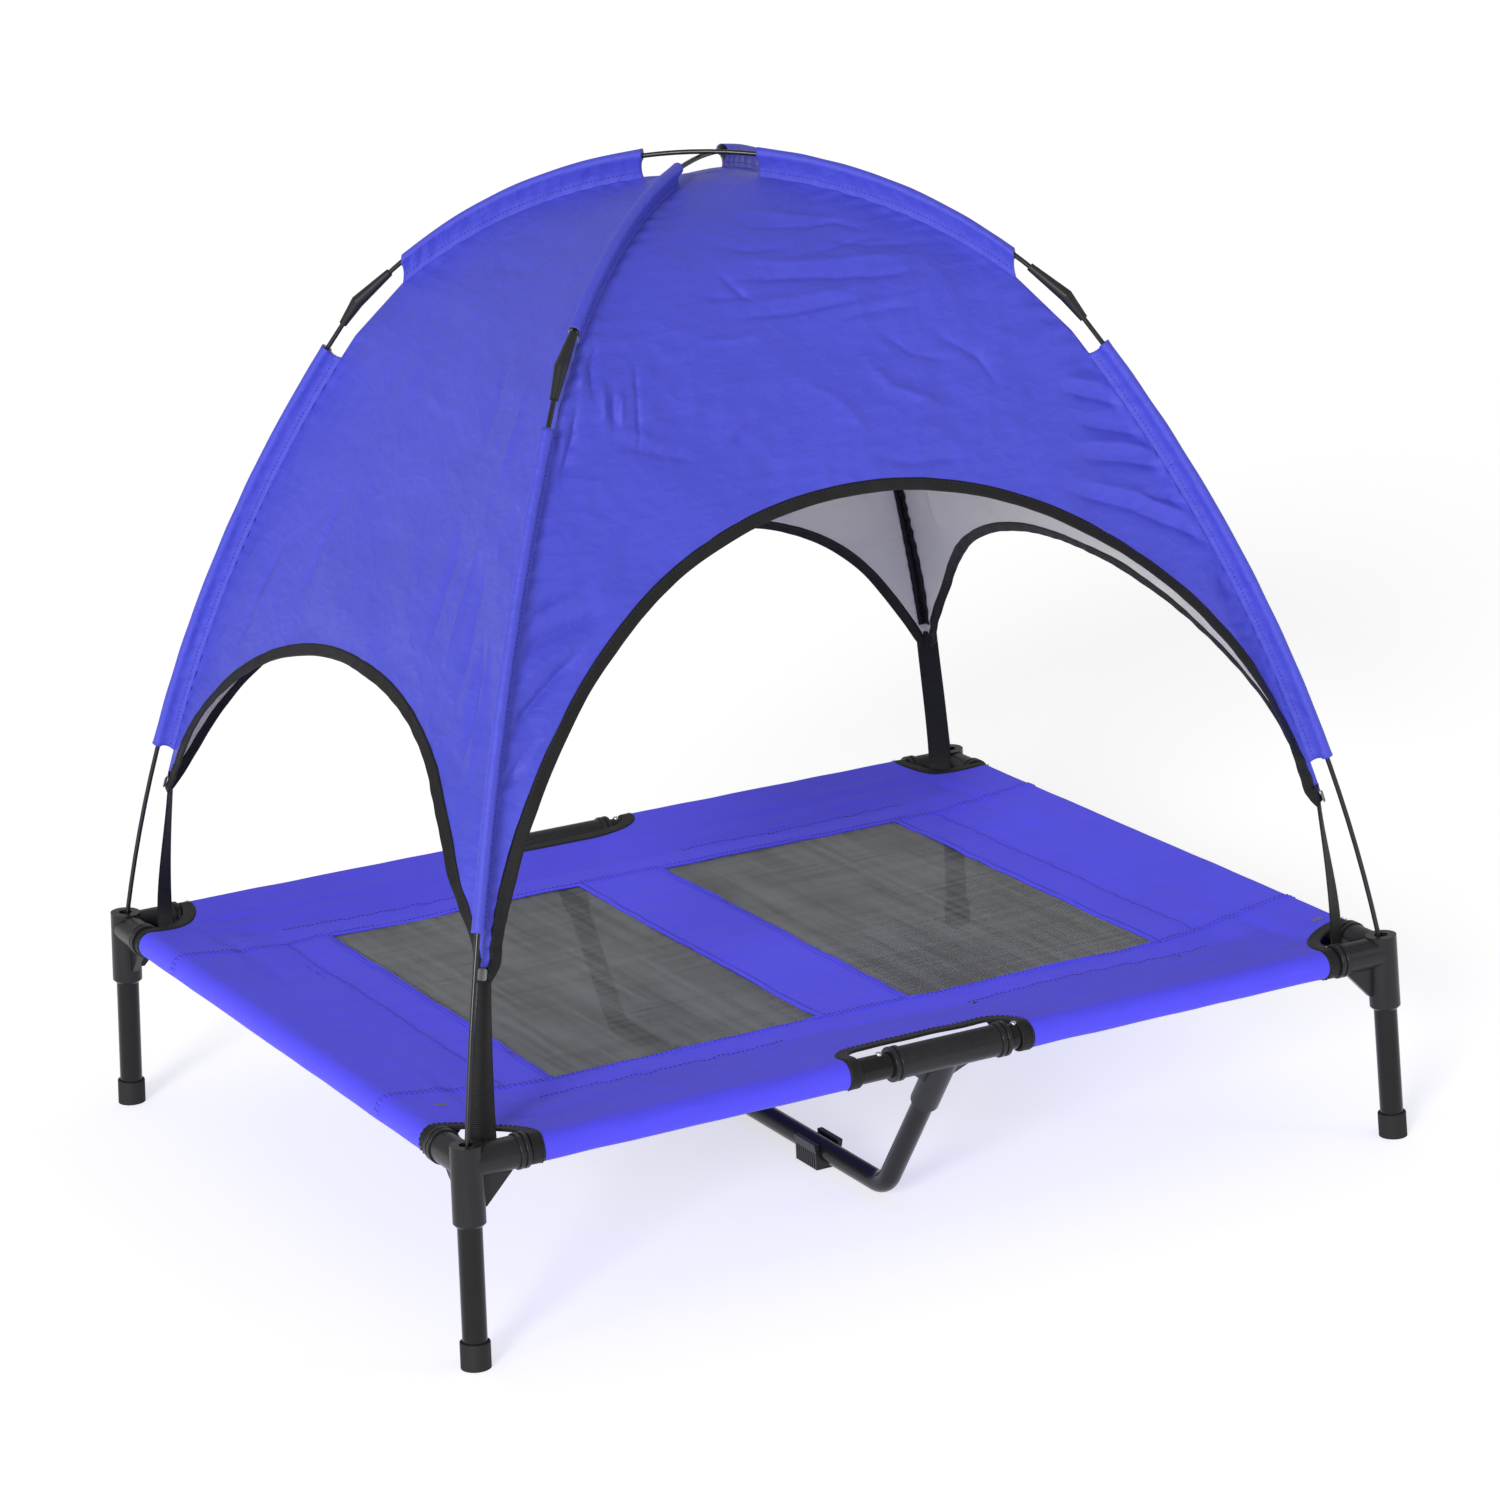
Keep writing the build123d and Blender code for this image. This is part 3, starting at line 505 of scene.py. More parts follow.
SIDE_FOLDS = [
    ([(100, 330), (112, 260), (122, 200)], 9, -2.6),
    ([(140, 330), (150, 260), (160, 190)], 8, 2.4),
    ([(165, 320), (178, 250), (196, 180)], 9, -2.8),
    ([(200, 260), (222, 190), (240, 130)], 8, -3.0),
    ([(214, 255), (236, 185), (252, 125)], 8, 2.6),
    ([(-120, 330), (-130, 260), (-145, 190)], 9, -2.4),
    ([(-200, 260), (-222, 190), (-240, 130)], 9, -2.8),
    ([(120, 470), (140, 400), (150, 350)], 11, 2.0),
    ([(60, 480), (85, 420), (95, 360)], 11, -2.0),
    ([(-90, 560), (-40, 540), (30, 548)], 11, -2.0),
    ([(-60, 420), (-10, 405), (50, 412)], 10, 1.8),
]


# Material helpers
class Look:
    """A material in the making: constant values on its main shader, and nodes that feed it."""

    def __init__(self, name, values):
        self.material = bpy.data.materials.new(name)
        self.material.use_nodes = True
        self.tree = self.material.node_tree
        self.shader = self.tree.nodes["Principled BSDF"]
        self.place = None
        for key, value in values.items():
            self.feed(self.shader.inputs[key], value)

    def feed(self, socket, value):
        """Link an output to an input, or give the input a plain value."""
        if isinstance(value, bpy.types.NodeSocket):
            self.tree.links.new(value, socket)
        else:
            socket.default_value = value

    def node(self, kind, values, **settings):
        """A shader node with its settings, input values and links."""
        made = self.tree.nodes.new(kind)
        for key, value in settings.items():
            setattr(made, key, value)
        for key, value in values.items():
            self.feed(made.inputs[key], value)
        return made

    def on_cloth(self):
        """Lay what follows out by cloth coordinates in metres."""
        self.place = self.node("ShaderNodeUVMap", {}, uv_map="cloth").outputs["UV"]
        return self

    def on_solid(self):
        """Lay what follows out by object coordinates in metres."""
        self.place = self.node("ShaderNodeTexCoord", {}).outputs["Object"]
        return self

    def bands(self, direction, period):
        """Straight waves of a given period in metres, from 0 to 1."""
        values = {"Vector": self.place, "Scale": math.pi / (10 * period)}
        made = self.node("ShaderNodeTexWave", values, wave_type="BANDS", bands_direction=direction)
        return made.outputs["Fac"]

    def speckle(self, size, detail=3.0, stretch=(1, 1, 1)):
        """Noise of a given grain size in metres, from 0 to 1."""
        mapping = self.node("ShaderNodeMapping", {"Vector": self.place, "Scale": stretch})
        values = {"Vector": mapping.outputs["Vector"], "Scale": 1 / size, "Detail": detail}
        return self.node("ShaderNodeTexNoise", values).outputs["Fac"]

    def combine(self, how, first, second):
        """Arithmetic on two outputs, or on an output and a number."""
        return self.node("ShaderNodeMath", {0: first, 1: second}, operation=how).outputs[0]

    def blend(self, *parts):
        """Sum of outputs, each times its share."""
        terms = [self.combine("MULTIPLY", output, share) for output, share in parts]
        total = terms[0]
        for term in terms[1:]:
            total = self.combine("ADD", total, term)
        return total

    def crinkle(self, size):
        """Sharp random creases of a given size in metres, 0 on their crests and less beside them."""
        centred = self.combine("SUBTRACT", self.speckle(size, 3.0, (1, 1.5, 1)), 0.5)
        return self.combine("MULTIPLY", self.combine("ABSOLUTE", centred, 0.0), -4.0)

    def remap(self, source, low, high, start=0.3, stop=0.7):
        """A noise output stretched to a range."""
        values = {"Value": source, "From Min": start, "From Max": stop, "To Min": low, "To Max": high}
        return self.node("ShaderNodeMapRange", values).outputs["Result"]

    def dye(self, source, colour, spread, start=0.3, stop=0.7):
        """Base colour from a darker to a lighter shade, by a noise output."""
        dark = [c * (1 - spread) for c in colour]
        light = [min(c * (1 + spread), 1) for c in colour]
        values = {0: self.remap(source, 0, 1, start, stop), 6: (*dark, 1), 7: (*light, 1)}
        mixed = self.node("ShaderNodeMix", values, data_type="RGBA").outputs[2]
        self.feed(self.shader.inputs["Base Color"], mixed)

    def gloss(self, source, low, high):
        """Roughness within a range, by a noise output."""
        self.feed(self.shader.inputs["Roughness"], self.remap(source, low, high))

    def emboss(self, height, strength, distance, under=None):
        """Fine surface relief from a height output, over another relief where there is one."""
        values = {"Strength": strength, "Distance": distance, "Height": height}
        if under is not None:
            values["Normal"] = under
        relief = self.node("ShaderNodeBump", values).outputs["Normal"]
        self.feed(self.shader.inputs["Normal"], relief)
        return relief


def cloth_material(name, colour, rough, sheen, thread, relief, spread=0.07, creases=0.0):
    """Plain woven cloth: crossing threads, slubs, fine creases and a faint blotchy dye."""
    values = {"Sheen Weight": sheen, "Sheen Roughness": 0.45, "Specular IOR Level": 0.3}
    look = Look(name, values).on_cloth()
    weave = look.combine("MULTIPLY", look.bands("X", thread), look.bands("Y", thread))
    slub = look.speckle(14 * thread, 2.0, (0.25, 1.6, 1))
    blotch = look.speckle(110 * MM, 4.0)
    look.dye(look.blend((slub, 0.45), (blotch, 0.55)), colour, spread)
    look.gloss(slub, rough - 0.05, rough + 0.06)
    worn = look.emboss(look.crinkle(45 * MM), creases, 3 * MM) if creases else None
    look.emboss(look.combine("ADD", weave, look.blend((slub, 0.6))), relief, 0.5 * thread, worn)
    return look.material


def tape_material(name, colour, rough, rib, sheen):
    """Woven tape or thread: ribs across it and a worn, uneven dye."""
    values = {"Sheen Weight": sheen, "Sheen Roughness": 0.4, "Specular IOR Level": 0.25}
    look = Look(name, values).on_cloth()
    ribs = look.bands("X", rib)
    fibre = look.speckle(2.5 * rib, 3.0, (1, 3, 1))
    worn = look.speckle(35 * MM, 5.0)
    look.dye(look.blend((fibre, 0.5), (worn, 0.5)), colour, 0.3)
    look.gloss(fibre, rough - 0.08, rough + 0.08)
    look.emboss(look.combine("ADD", ribs, fibre), 0.5, 0.3 * rib)
    return look.material


def mesh_material(name, colour):
    """Coated mesh: strands of uneven shade, with broad streaks of painted sheen along the cloth."""
    look = Look(name, {"Specular IOR Level": 0.22}).on_solid()
    weft = look.speckle(9 * MM, 4.0, (0.05, 1.4, 1))
    warp = look.speckle(9 * MM, 4.0, (1.4, 0.05, 1))
    # Broad streaks in the colour below are painted sheen; the fine streaks are the strands' own uneven shade.
    fade = look.speckle(70 * MM, 2.0, (1.4, 0.3, 1))
    look.dye(look.blend((weft, 0.3), (warp, 0.35), (fade, 0.35)), colour, 0.42, 0.4, 0.6)
    look.gloss(fade, 0.42, 0.68)
    look.emboss(look.speckle(1.2 * MM, 2.0), 0.3, 0.2 * MM)
    return look.material


def solid_material(name, colour, rough, grain, relief, values):
    """Moulded, coated or rubber surface: fine grain, handling marks and uneven gloss."""
    look = Look(name, values).on_solid()
    fine = look.speckle(grain, 2.0)
    marks = look.speckle(45 * MM, 6.0)
    scuff = look.speckle(6 * MM, 4.0, (1, 1, 0.15))
    look.dye(look.blend((marks, 0.6), (scuff, 0.4)), colour, 0.18)
    look.gloss(look.blend((marks, 0.5), (scuff, 0.5)), 0.8 * rough, 1.25 * rough)
    look.emboss(fine, relief, 0.2 * grain)
    return look.material


# Colours as linear red, green and blue
canopy_blue = (0.062, 0.070, 0.555)
# The bed's blue is lighter than the cloth's own blue: painted light that makes up for the shade under the
# canopy.
bed_blue_painted_light = (0.082, 0.070, 0.92)
# The hem's blue is darker than the bed's: painted shade, as the doubled cloth lets less light through than
# the single cloth.
hem_blue_painted_shade = (0.075, 0.063, 0.83)
silver_grey = (0.60, 0.59, 0.55)
tape_black = (0.008, 0.008, 0.009)
webbing_black = (0.007, 0.007, 0.008)
mesh_grey = (0.118, 0.124, 0.130)
thread_black = (0.02, 0.02, 0.022)
# The blue thread is much darker than the cloth it sews: partly the thread's colour, partly painted shade
# standing for the shadow along each seam.
thread_blue_seam_shade = (0.034, 0.030, 0.30)
thread_grey = (0.16, 0.165, 0.17)
plastic_black = (0.014, 0.0145, 0.016)
coat_black = (0.008, 0.008, 0.009)
rubber_black = (0.014, 0.014, 0.014)
steel_grey = (0.62, 0.62, 0.64)

CANOPY = cloth_material("canopy_cloth", canopy_blue, 0.41, 0.04, 0.55 * MM, 0.35, creases=0.4)
LINING = cloth_material("silver_lining", silver_grey, 0.42, 0.02, 0.55 * MM, 0.25, 0.04)
# The bed cloth's blue holds painted light; the doubled hem's darker blue holds painted shade.
BED = cloth_material("bed_cloth_weave_painted_light", bed_blue_painted_light, 0.6, 0.03, 0.8 * MM, 0.5, creases=0.12)
BED_HEM_PAINTED_SHADE = cloth_material("bed_cloth_doubled_painted_shade", hem_blue_painted_shade, 0.6, 0.03, 0.8 * MM, 0.5, creases=0.12)
TAPE = tape_material("binding_ribs", tape_black, 0.55, 1.1 * MM, 0.02)
WEBBING = tape_material("strap_ribs", webbing_black, 0.6, 1.6 * MM, 0.02)
THREAD = tape_material("black_thread", thread_black, 0.5, 0.6 * MM, 0.1)
# Dark blue stitches: thread colour and painted seam shade.
SEAM_SHADE_BLUE_THREAD = tape_material("blue_thread_seam_shade", thread_blue_seam_shade, 0.5, 0.6 * MM, 0.05)
GREY_THREAD = tape_material("grey_thread", thread_grey, 0.5, 0.6 * MM, 0.05)
MESH = mesh_material("coated_mesh_painted_sheen", mesh_grey)
PLASTIC = solid_material("moulded_plastic", plastic_black, 0.3, 0.5 * MM, 0.2, {"Specular IOR Level": 0.28})
ELBOW = solid_material("elbow_plastic", plastic_black, 0.38, 0.5 * MM, 0.2, {"Specular IOR Level": 0.35})
COAT = solid_material("black_coated_steel", coat_black, 0.2, 1.6 * MM, 0.08,
                      {"Coat Weight": 0.1, "Coat Roughness": 0.06, "Specular IOR Level": 0.2})
ROD = solid_material("fibreglass", coat_black, 0.3, 0.8 * MM, 0.15, {})
RUBBER = solid_material("foot_rubber", rubber_black, 0.7, 0.6 * MM, 0.3, {"Specular IOR Level": 0.3})
STEEL = solid_material("plated_steel", steel_grey, 0.22, 0.4 * MM, 0.1, {"Metallic": 1.0})

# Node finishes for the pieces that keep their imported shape
FINISHES = {
    "corner_connector": PLASTIC,
    "rail_tee": PLASTIC,
    "support_foot_clip": PLASTIC,
    "rod_elbow": ELBOW,
    "leg_tube": COAT,
    "side_rail": COAT,
    "end_rail": COAT,
    "centre_support": COAT,
    "foot_cap": RUBBER,
    "rail_lock": STEEL,
    "lower_rod": ROD,
    "upper_rod": ROD,
}
for node_name, node_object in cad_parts.items():
    for start, finish in FINISHES.items():
        if node_name.startswith(start):
            node_object.data.materials.clear()
            node_object.data.materials.append(finish)


# Strips, tubes and threads that follow a line
def sweep_rings(name, grid, flats, body, material, closed=False):
    """A skin over rings of points; each ring is a row of the grid, closed round or open."""
    rows, columns = grid.shape[:2]
    faces = grid_faces(rows, columns, closed)
    if closed:
        ends = [list(range(columns))[::-1], list(range((rows - 1) * columns, rows * columns))]
        faces = faces.tolist() + ends
    made = piece(name, grid.reshape(-1, 3), faces, body, [material])
    set_uv(made, flats.reshape(-1, 2))
    return made


def strip_flats(along, across):
    """Flat coordinates of a strip: along it, then across it."""
    return np.stack(np.meshgrid(along, across, indexing="ij"), -1)


def lifted(surface, flat, lift):
    """Points at a height over flat cloth points, on a surface that gives points and normals."""
    points, normals = surface(flat)
    return points + normals * np.reshape(lift, (-1, 1))


# Stitches as pitch, length and thread radius
ARCH_STITCH = (4.4 * MM, 2.8 * MM, 0.36 * MM)
SLEEVE_STITCH = (4.0 * MM, 2.6 * MM, 0.3 * MM)
STRAP_STITCH = (2.2 * MM, 1.9 * MM, 0.3 * MM)
BED_STITCH = (4.6 * MM, 3.0 * MM, 0.38 * MM)
TACK_STITCH = (1.6 * MM, 2.6 * MM, 0.6 * MM)
thread_sides = 6
thread_lift = 0.5
thread_dip = 0.6
thread_full = 0.55


def stitch_row(name, line, normals, stitch, body, material):
    """A row of small stitches lying on a line of a surface, each full in its middle and sunk at its ends."""
    pitch, length, radius = stitch
    along = lengths(line)
    at = np.arange(pitch, along[-1] - pitch / 2, pitch)
    spots = along_line(at, along, line)
    up = unit(along_line(at, along, normals))
    run = unit(np.gradient(spots, axis=0))
    beside = np.cross(up, run)
    turn = round_turns(thread_sides)
    ring = beside[:, None] * np.cos(turn)[:, None] + up[:, None] * np.sin(turn)[:, None]
    ring = ring * radius + (spots + up * radius * thread_lift)[:, None]
    reach = run[:, None] * length / 2
    dip = (spots - up * radius * thread_dip)[:, None]
    full = reach * thread_full
    points = np.concatenate([dip - reach, ring - full, ring + full, dip + reach], 1)
    count = points.shape[1]
    faces = []
    for side in range(thread_sides):
        k = 1 + side
        beyond = 1 + (side + 1) % thread_sides
        faces.append((0, beyond, k))
        faces.append((k, beyond, beyond + thread_sides, k + thread_sides))
        faces.append((k + thread_sides, beyond + thread_sides, count - 1))
    every = [[k + count * row for k in face] for row in range(len(at)) for face in faces]
    made = piece(name, points.reshape(-1, 3), every, body, [material])
    set_uv(made, np.stack([np.repeat(at, count), np.tile(np.arange(count) * radius, len(at))], -1))


# Canopy skin: four sides in one cloth, joined at the ridges and the crown
panels = {name: Panel(name) for name in SIDES}
SKIN_COLUMNS = {"front": 300, "right": 170, "back": 170, "left": 230}
skin_rows = 190


def skin_flat(panel):
    """Flat cloth points of one side, row by row from the arch up, from its left ridge to its right one."""
    edge = panel.edge(binding_w - 1 * MM)
    corner = np.array([[panel.half, 0.0]])
    line = np.concatenate([corner * FLIP, edge, corner])
    along = lengths(line) / lengths(line)[-1]
    t = np.linspace(0, 1, SKIN_COLUMNS[panel.name] + 1)
    low_a = np.interp(t, along, line[:, 0])
    low_up = np.interp(t, along, line[:, 1])
    low_share = low_a / panel.ridge(low_up)
    climb = np.linspace(0, 1, skin_rows + 1)[:-1, None]
    up = low_up + (panel.total - low_up) * climb
    share = low_share + (2 * t - 1 - low_share) * climb
    return np.stack([share * panel.ridge(up), up], -1)


def canopy_skin():
    """The canopy cloth, blue outside and silver inside."""
    sides = []
    flats = []
    width = 0.0
    for panel in panels.values():
        flat = skin_flat(panel)
        points, _ = panel.cloth(flat.reshape(-1, 2))
        sides.append(points.reshape(*flat.shape[:2], 3)[:, :-1])
        flats.append(flat[:, :-1] + np.array([width + panel.half, 0]))
        width += 2 * panel.half
    around = sum(SKIN_COLUMNS.values())
    crown = skin_rows * around
    points = np.concatenate([np.concatenate(sides, 1).reshape(-1, 3), [[0, 0, SEAM[-1, 1]]]])
    flat = np.concatenate([np.concatenate(flats, 1).reshape(-1, 2), [[width / 2, panels["front"].total]]])
    faces = grid_faces(skin_rows, around, closed=True).tolist()
    top = crown - around
    for column in range(around):
        faces.append((top + column, top + (column + 1) % around, crown))
    made = piece("canopy_skin", points, faces, "canopy", [CANOPY, LINING])
    set_uv(made, flat)
    mark_ridges(made, around, crown)
    thicken(made, skin_t, inner=1)
    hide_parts(*["canopy_panel_" + name for name in SIDES])


def mark_ridges(made, around, crown):
    """Sharp edges where two sides are sewn together."""
    ends = np.zeros(len(made.data.edges) * 2, np.int32)
    made.data.edges.foreach_get("vertices", ends)
    ends = ends.reshape(-1, 2)
    column = ends % around
    ridges = np.cumsum([0] + list(SKIN_COLUMNS.values()))[:-1]
    sharp = (column[:, 0] == column[:, 1]) & np.isin(column[:, 0], ridges) & (ends != crown).all(axis=1)
    layer = made.data.attributes.new("sharp_edge", "BOOLEAN", "EDGE")
    layer.data.foreach_set("value", sharp)


canopy_skin()

# Arch bindings: tape folded over the cloth's edge, its ends drawn together below the tips
tape_t = 0.7 * MM
tape_roll = 0.5 * MM
tape_tail = 13 * MM
tail_wide = 0.62
tail_gap = 1.5 * MM
tape_slack = 1.6 * MM
tape_step = 3.5 * MM
tape_under = 1 * MM
tape_stitch_in = 2.2 * MM
tape_wander = 0.35 * MM
tape_swell = 0.25 * MM


def folded_section(width, inner_width, gap):
    """Offsets (into the cloth, outward) round a folded tape, from its outer hem to its inner hem."""
    radius = gap / 2
    turn = np.linspace(math.pi / 2, 3 * math.pi / 2, 7)
    bend = np.stack([radius + radius * np.cos(turn), radius * np.sin(turn)], -1)
    outer = np.stack([np.linspace(width, radius, 6)[:-1], np.full(5, radius)], -1)
    inner = np.stack([np.linspace(radius, inner_width, 6)[1:], np.full(5, -radius)], -1)
    outer[0, 1] -= tape_roll
    inner[-1, 1] += tape_roll
    return np.concatenate([outer, bend, inner])


def binding_line(panel):
    """Free edge of an arch with a tail below each tip, and the tape's share of its full width there."""
    down = np.linspace(0, 1, 8)[1:]
    edge = panel.edge(binding_w)
    start_gap = panel.half - edge[-1, 0]
    end_gap = tail_gap + tail_wide * binding_w
    up = -tape_tail * down
    tail = np.stack([panel.ridge(up) - start_gap + (start_gap - end_gap) * down, up], -1)
    line = np.concatenate([tail[::-1] * FLIP, edge, tail])
    narrow = 1 - (1 - tail_wide) * down
    share = np.concatenate([narrow[::-1], np.ones(len(edge)), narrow])
    smooth, at = resample(line, tape_step)
    return smooth, np.interp(at, lengths(line), share), at


def arch_binding(name):
    """Black tape round one arch, with its stitches."""
    panel = panels[name]
    line, share, at = binding_line(panel)
    into = edge_frame(line)
    gap = skin_t + tape_slack
    section = folded_section(binding_w, binding_w - tape_under, gap)
    wander = tape_wander * ripple_along(at, 90 * MM, 61)
    columns = []
    for inward, outward in section:
        flat = line + into * (inward * share + wander * (inward < 2 * MM))[:, None]
        swell = tape_swell * ripple_along(at, 24 * MM, 62, 5, inward)
        columns.append(lifted(panel.cloth, flat, outward - skin_t / 2 + swell))
    grid = np.stack(columns, 1)
    reach = lengths(section)
    made = sweep_rings("arch_tape_" + name, grid, strip_flats(at, reach), "canopy", TAPE)
    thicken(made, tape_t)
    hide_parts("arch_binding_" + name)
    seam, normals = panel.cloth(line + into * ((binding_w - tape_stitch_in) * share)[:, None])
    seam = seam + normals * (gap - skin_t) / 2
    stitch_row("arch_stitches_" + name, seam, normals, ARCH_STITCH, "canopy", THREAD)


for side_name in SIDES:
    arch_binding(side_name)

# Pole sleeves: a loop of cloth round the rod and a web down to the seam
sleeve_loop = rod_r + 2.8 * MM
sleeve_t = 0.45 * MM
sleeve_mouth = 1.5 * MM
sleeve_steps = 110
mouth_reach = 9 * MM
mouth_flare = 0.12
mouth_flare_reach = 6 * MM
web_lean = 3.0 * MM
loop_ripple = 0.03
front_left_gap_above_elbow = 1 * MM

# Web of a sleeve: share of the way from the seam to the rod, half width in millimetres
SLEEVE_WEB = [(-0.06, 1.3), (0.0, 1.0), (0.12, 0.85), (0.25, 0.85), (0.4, 1.1), (0.55, 1.8), (0.68, 2.7)]


def sleeve_lines(corner):
    """Rod and seam lines of the lower and the upper sleeve at a corner."""
    side_x, side_y = CORNERS[corner]
    pole = Pole(0, pole_drop if side_x == side_y else 0.0)
    seam = Pole(fin_depth, pole_drop)
    start = pole.lower_turn(post_top + fin_bottom_rise)
    finish = pole.low_end_turn() - fin_gap_below_elbow / pole.lower_r
    turn = np.linspace(start, finish, sleeve_steps)
    yield "lower", pole.lower(turn), seam.lower(turn)
    above_elbow = front_left_gap_above_elbow if corner == "front_left" else fin_gap_above_elbow
    start = pole.high_end_turn() - above_elbow / pole.upper_r
    finish = math.asin(fin_gap_at_crown / pole.upper_r)
    turn = np.linspace(start, finish, sleeve_steps)
    rod = pole.upper(turn)
    share = np.linspace(seam.upper_r / pole.upper_r, 1, len(turn))
    yield "upper", rod, seam.upper(np.arcsin(rod[:, 0] * share / seam.upper_r))


def sleeve_half(depth, at, seed):
    """Half a sleeve's section at each place: height over the seam, half width, sideways lean, slack."""
    near_end = np.minimum(at, at[-1] - at)
    flare = 1 + mouth_flare * np.exp(-near_end / mouth_flare_reach)
    wave = 0.55 * np.sin(2 * math.pi * at / (15 * MM) + 2 * np.sin(at / (23 * MM) + seed))
    wave += 0.45 * ripple_along(at, 38 * MM, seed)
    loop = sleeve_loop * flare * (1 + loop_ripple * ripple_along(at, 43 * MM, seed + 1))
    half = []
    for share, wide in SLEEVE_WEB:
        inside = max(share, 0)
        bow = inside * (1 - inside)
        half.append((share * depth, wide * MM * flare, web_lean * wave * bow, 4 * bow))
    for angle in np.linspace(math.radians(-40), math.radians(90), 8):
        half.append((depth + loop * math.sin(angle), loop * math.cos(angle), 0 * at, 0))
    return half


def pole_sleeve(corner):
    """Both sleeves of one corner, open at their ends, with gathers along the web."""
    out, side = corner_axes(corner)
    up = np.array([0, 0, 1.0])
    for part, rod, seam in sleeve_lines(corner):
        rod_points = rod[:, :1] * out + rod[:, 1:] * up
        seam_points = seam[:, :1] * out + seam[:, 1:] * up
        depth = np.linalg.norm(rod_points - seam_points, axis=1)
        away = unit(rod_points - seam_points)
        run = unit(np.gradient(rod_points, axis=0))
        at = lengths(rod_points)
        pull = sleeve_mouth * (np.exp(-at / mouth_reach) - np.exp(-(at[-1] - at) / mouth_reach))
        half = sleeve_half(depth, at, 80 + sum(map(ord, corner + part)))
        columns = []
        for sign, rows in ((-1, half), (1, half[:-1][::-1])):
            for height, wide, lean, bow in rows:
                spot = seam_points + away * height[:, None] + side * (sign * wide + lean)[:, None]
                columns.append(spot + run * (pull * bow)[:, None])
        grid = np.stack(columns, 1)
        reach = lengths(grid[len(grid) // 2])
        flats = strip_flats(at, reach)[..., ::-1]
        name = part + "_" + corner
        made = sweep_rings("sleeve_" + name, grid, flats, "canopy", CANOPY)
        made.data.materials.append(LINING)
        thicken(made, sleeve_t, inner=1)
        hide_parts("pole_sleeve_" + corner)
        for label, sign, column in (("a", -1, 3), ("b", 1, len(columns) - 4)):
            face = np.repeat(side[None] * sign, len(at), axis=0)
            stitches = "sleeve_stitches_" + label + "_" + name
            stitch_row(stitches, grid[:, column], face, SLEEVE_STITCH, "canopy", SEAM_SHADE_BLUE_THREAD)


# Black tapes over the seams inside the canopy
RIDGES = {
    "front_right": ("front", "right"),
    "back_right": ("right", "back"),
    "back_left": ("back", "left"),
    "front_left": ("left", "front"),
}
seam_tape_half = 9 * MM
seam_tape_from_tip = 14 * MM
seam_tape_from_crown = 40 * MM
seam_tape_t = 0.5 * MM
seam_tape_drop = 0.9 * MM
seam_tape_wave = 0.25 * MM
seam_tape_measured_row = 9


def seam_tape(corner):
    """Tape that covers a ridge seam on the inside."""
    before, after = (panels[name] for name in RIDGES[corner])
    keep = (SEAM_S > seam_tape_from_tip) & (SEAM_S < SEAM_S[-1] - seam_tape_from_crown)
    at = SEAM_S[keep][::3]
    offsets = np.linspace(seam_tape_half, 0, 4)
    columns = []
    for panel, sign, steps in ((before, 1, offsets), (after, -1, offsets[::-1][1:])):
        up = np.interp(at, SEAM_S, panel.up)
        for inward in steps:
            flat = np.stack([sign * (panel.ridge(up) - inward), up], -1)
            wave = seam_tape_wave * ripple_along(at, 26 * MM, 91, 4, inward)
            columns.append(lifted(panel.cloth, flat, -(skin_t + seam_tape_drop + wave)))
    grid = np.stack(columns, 1)
    reach = lengths(grid[seam_tape_measured_row])
    made = sweep_rings("seam_tape_" + corner, grid, strip_flats(at, reach), "canopy", TAPE)
    thicken(made, seam_tape_t)


# Hold-down straps, from the canopy tip down behind the post
strap_w = 21.5 * MM
strap_top_w = 11 * MM
strap_t = 1.5 * MM
strap_stand = 27.5 * MM
strap_below_post = 36.5 * MM
strap_above_tip = 6 * MM
strap_top_turn = math.radians(45)
strap_foot_turn = math.radians(30)
strap_turned_by = 0.75
strap_full_by = 0.9
strap_cup = 1.6 * MM
strap_cup_reach = 30 * MM
strap_wave = 0.5 * MM
strap_hem = 17 * MM
strap_hem_seam = 15 * MM
strap_hem_swell = 0.9
strap_seam_share = 0.85
patch_half = 4 * MM
patch_low = 9 * MM
patch_rows = 14
ring_steps = 28


def strap_path(corner):
    """Middle line of a strap from the tip down, with the distance along it."""
    side_x, side_y = CORNERS[corner]
    top = corner_axes(corner)[0] * (seam_tip_r - 3 * strap_t)
    top[2] = post_top + tip_rise + strap_above_tip
    bend = np.array([side_x * (post_x - strap_stand), side_y * (post_y - strap_stand), post_top])
    end = bend - np.array([0, 0, strap_below_post])
    reach = bend + np.array([0, 0, 1]) * (top[2] - bend[2]) * 0.25
    line = bezier(top, 0.55 * top + 0.45 * bend, reach, 0.5 * bend + 0.5 * end, 60)
    return resample(np.concatenate([line, [end]]), 2.5 * MM)


def squared(turn, power):
    """Round section drawn out towards a flat one."""
    x = np.sign(np.cos(turn)) * np.abs(np.cos(turn)) ** power
    y = np.sign(np.sin(turn)) * np.abs(np.sin(turn)) ** power
    return x, y


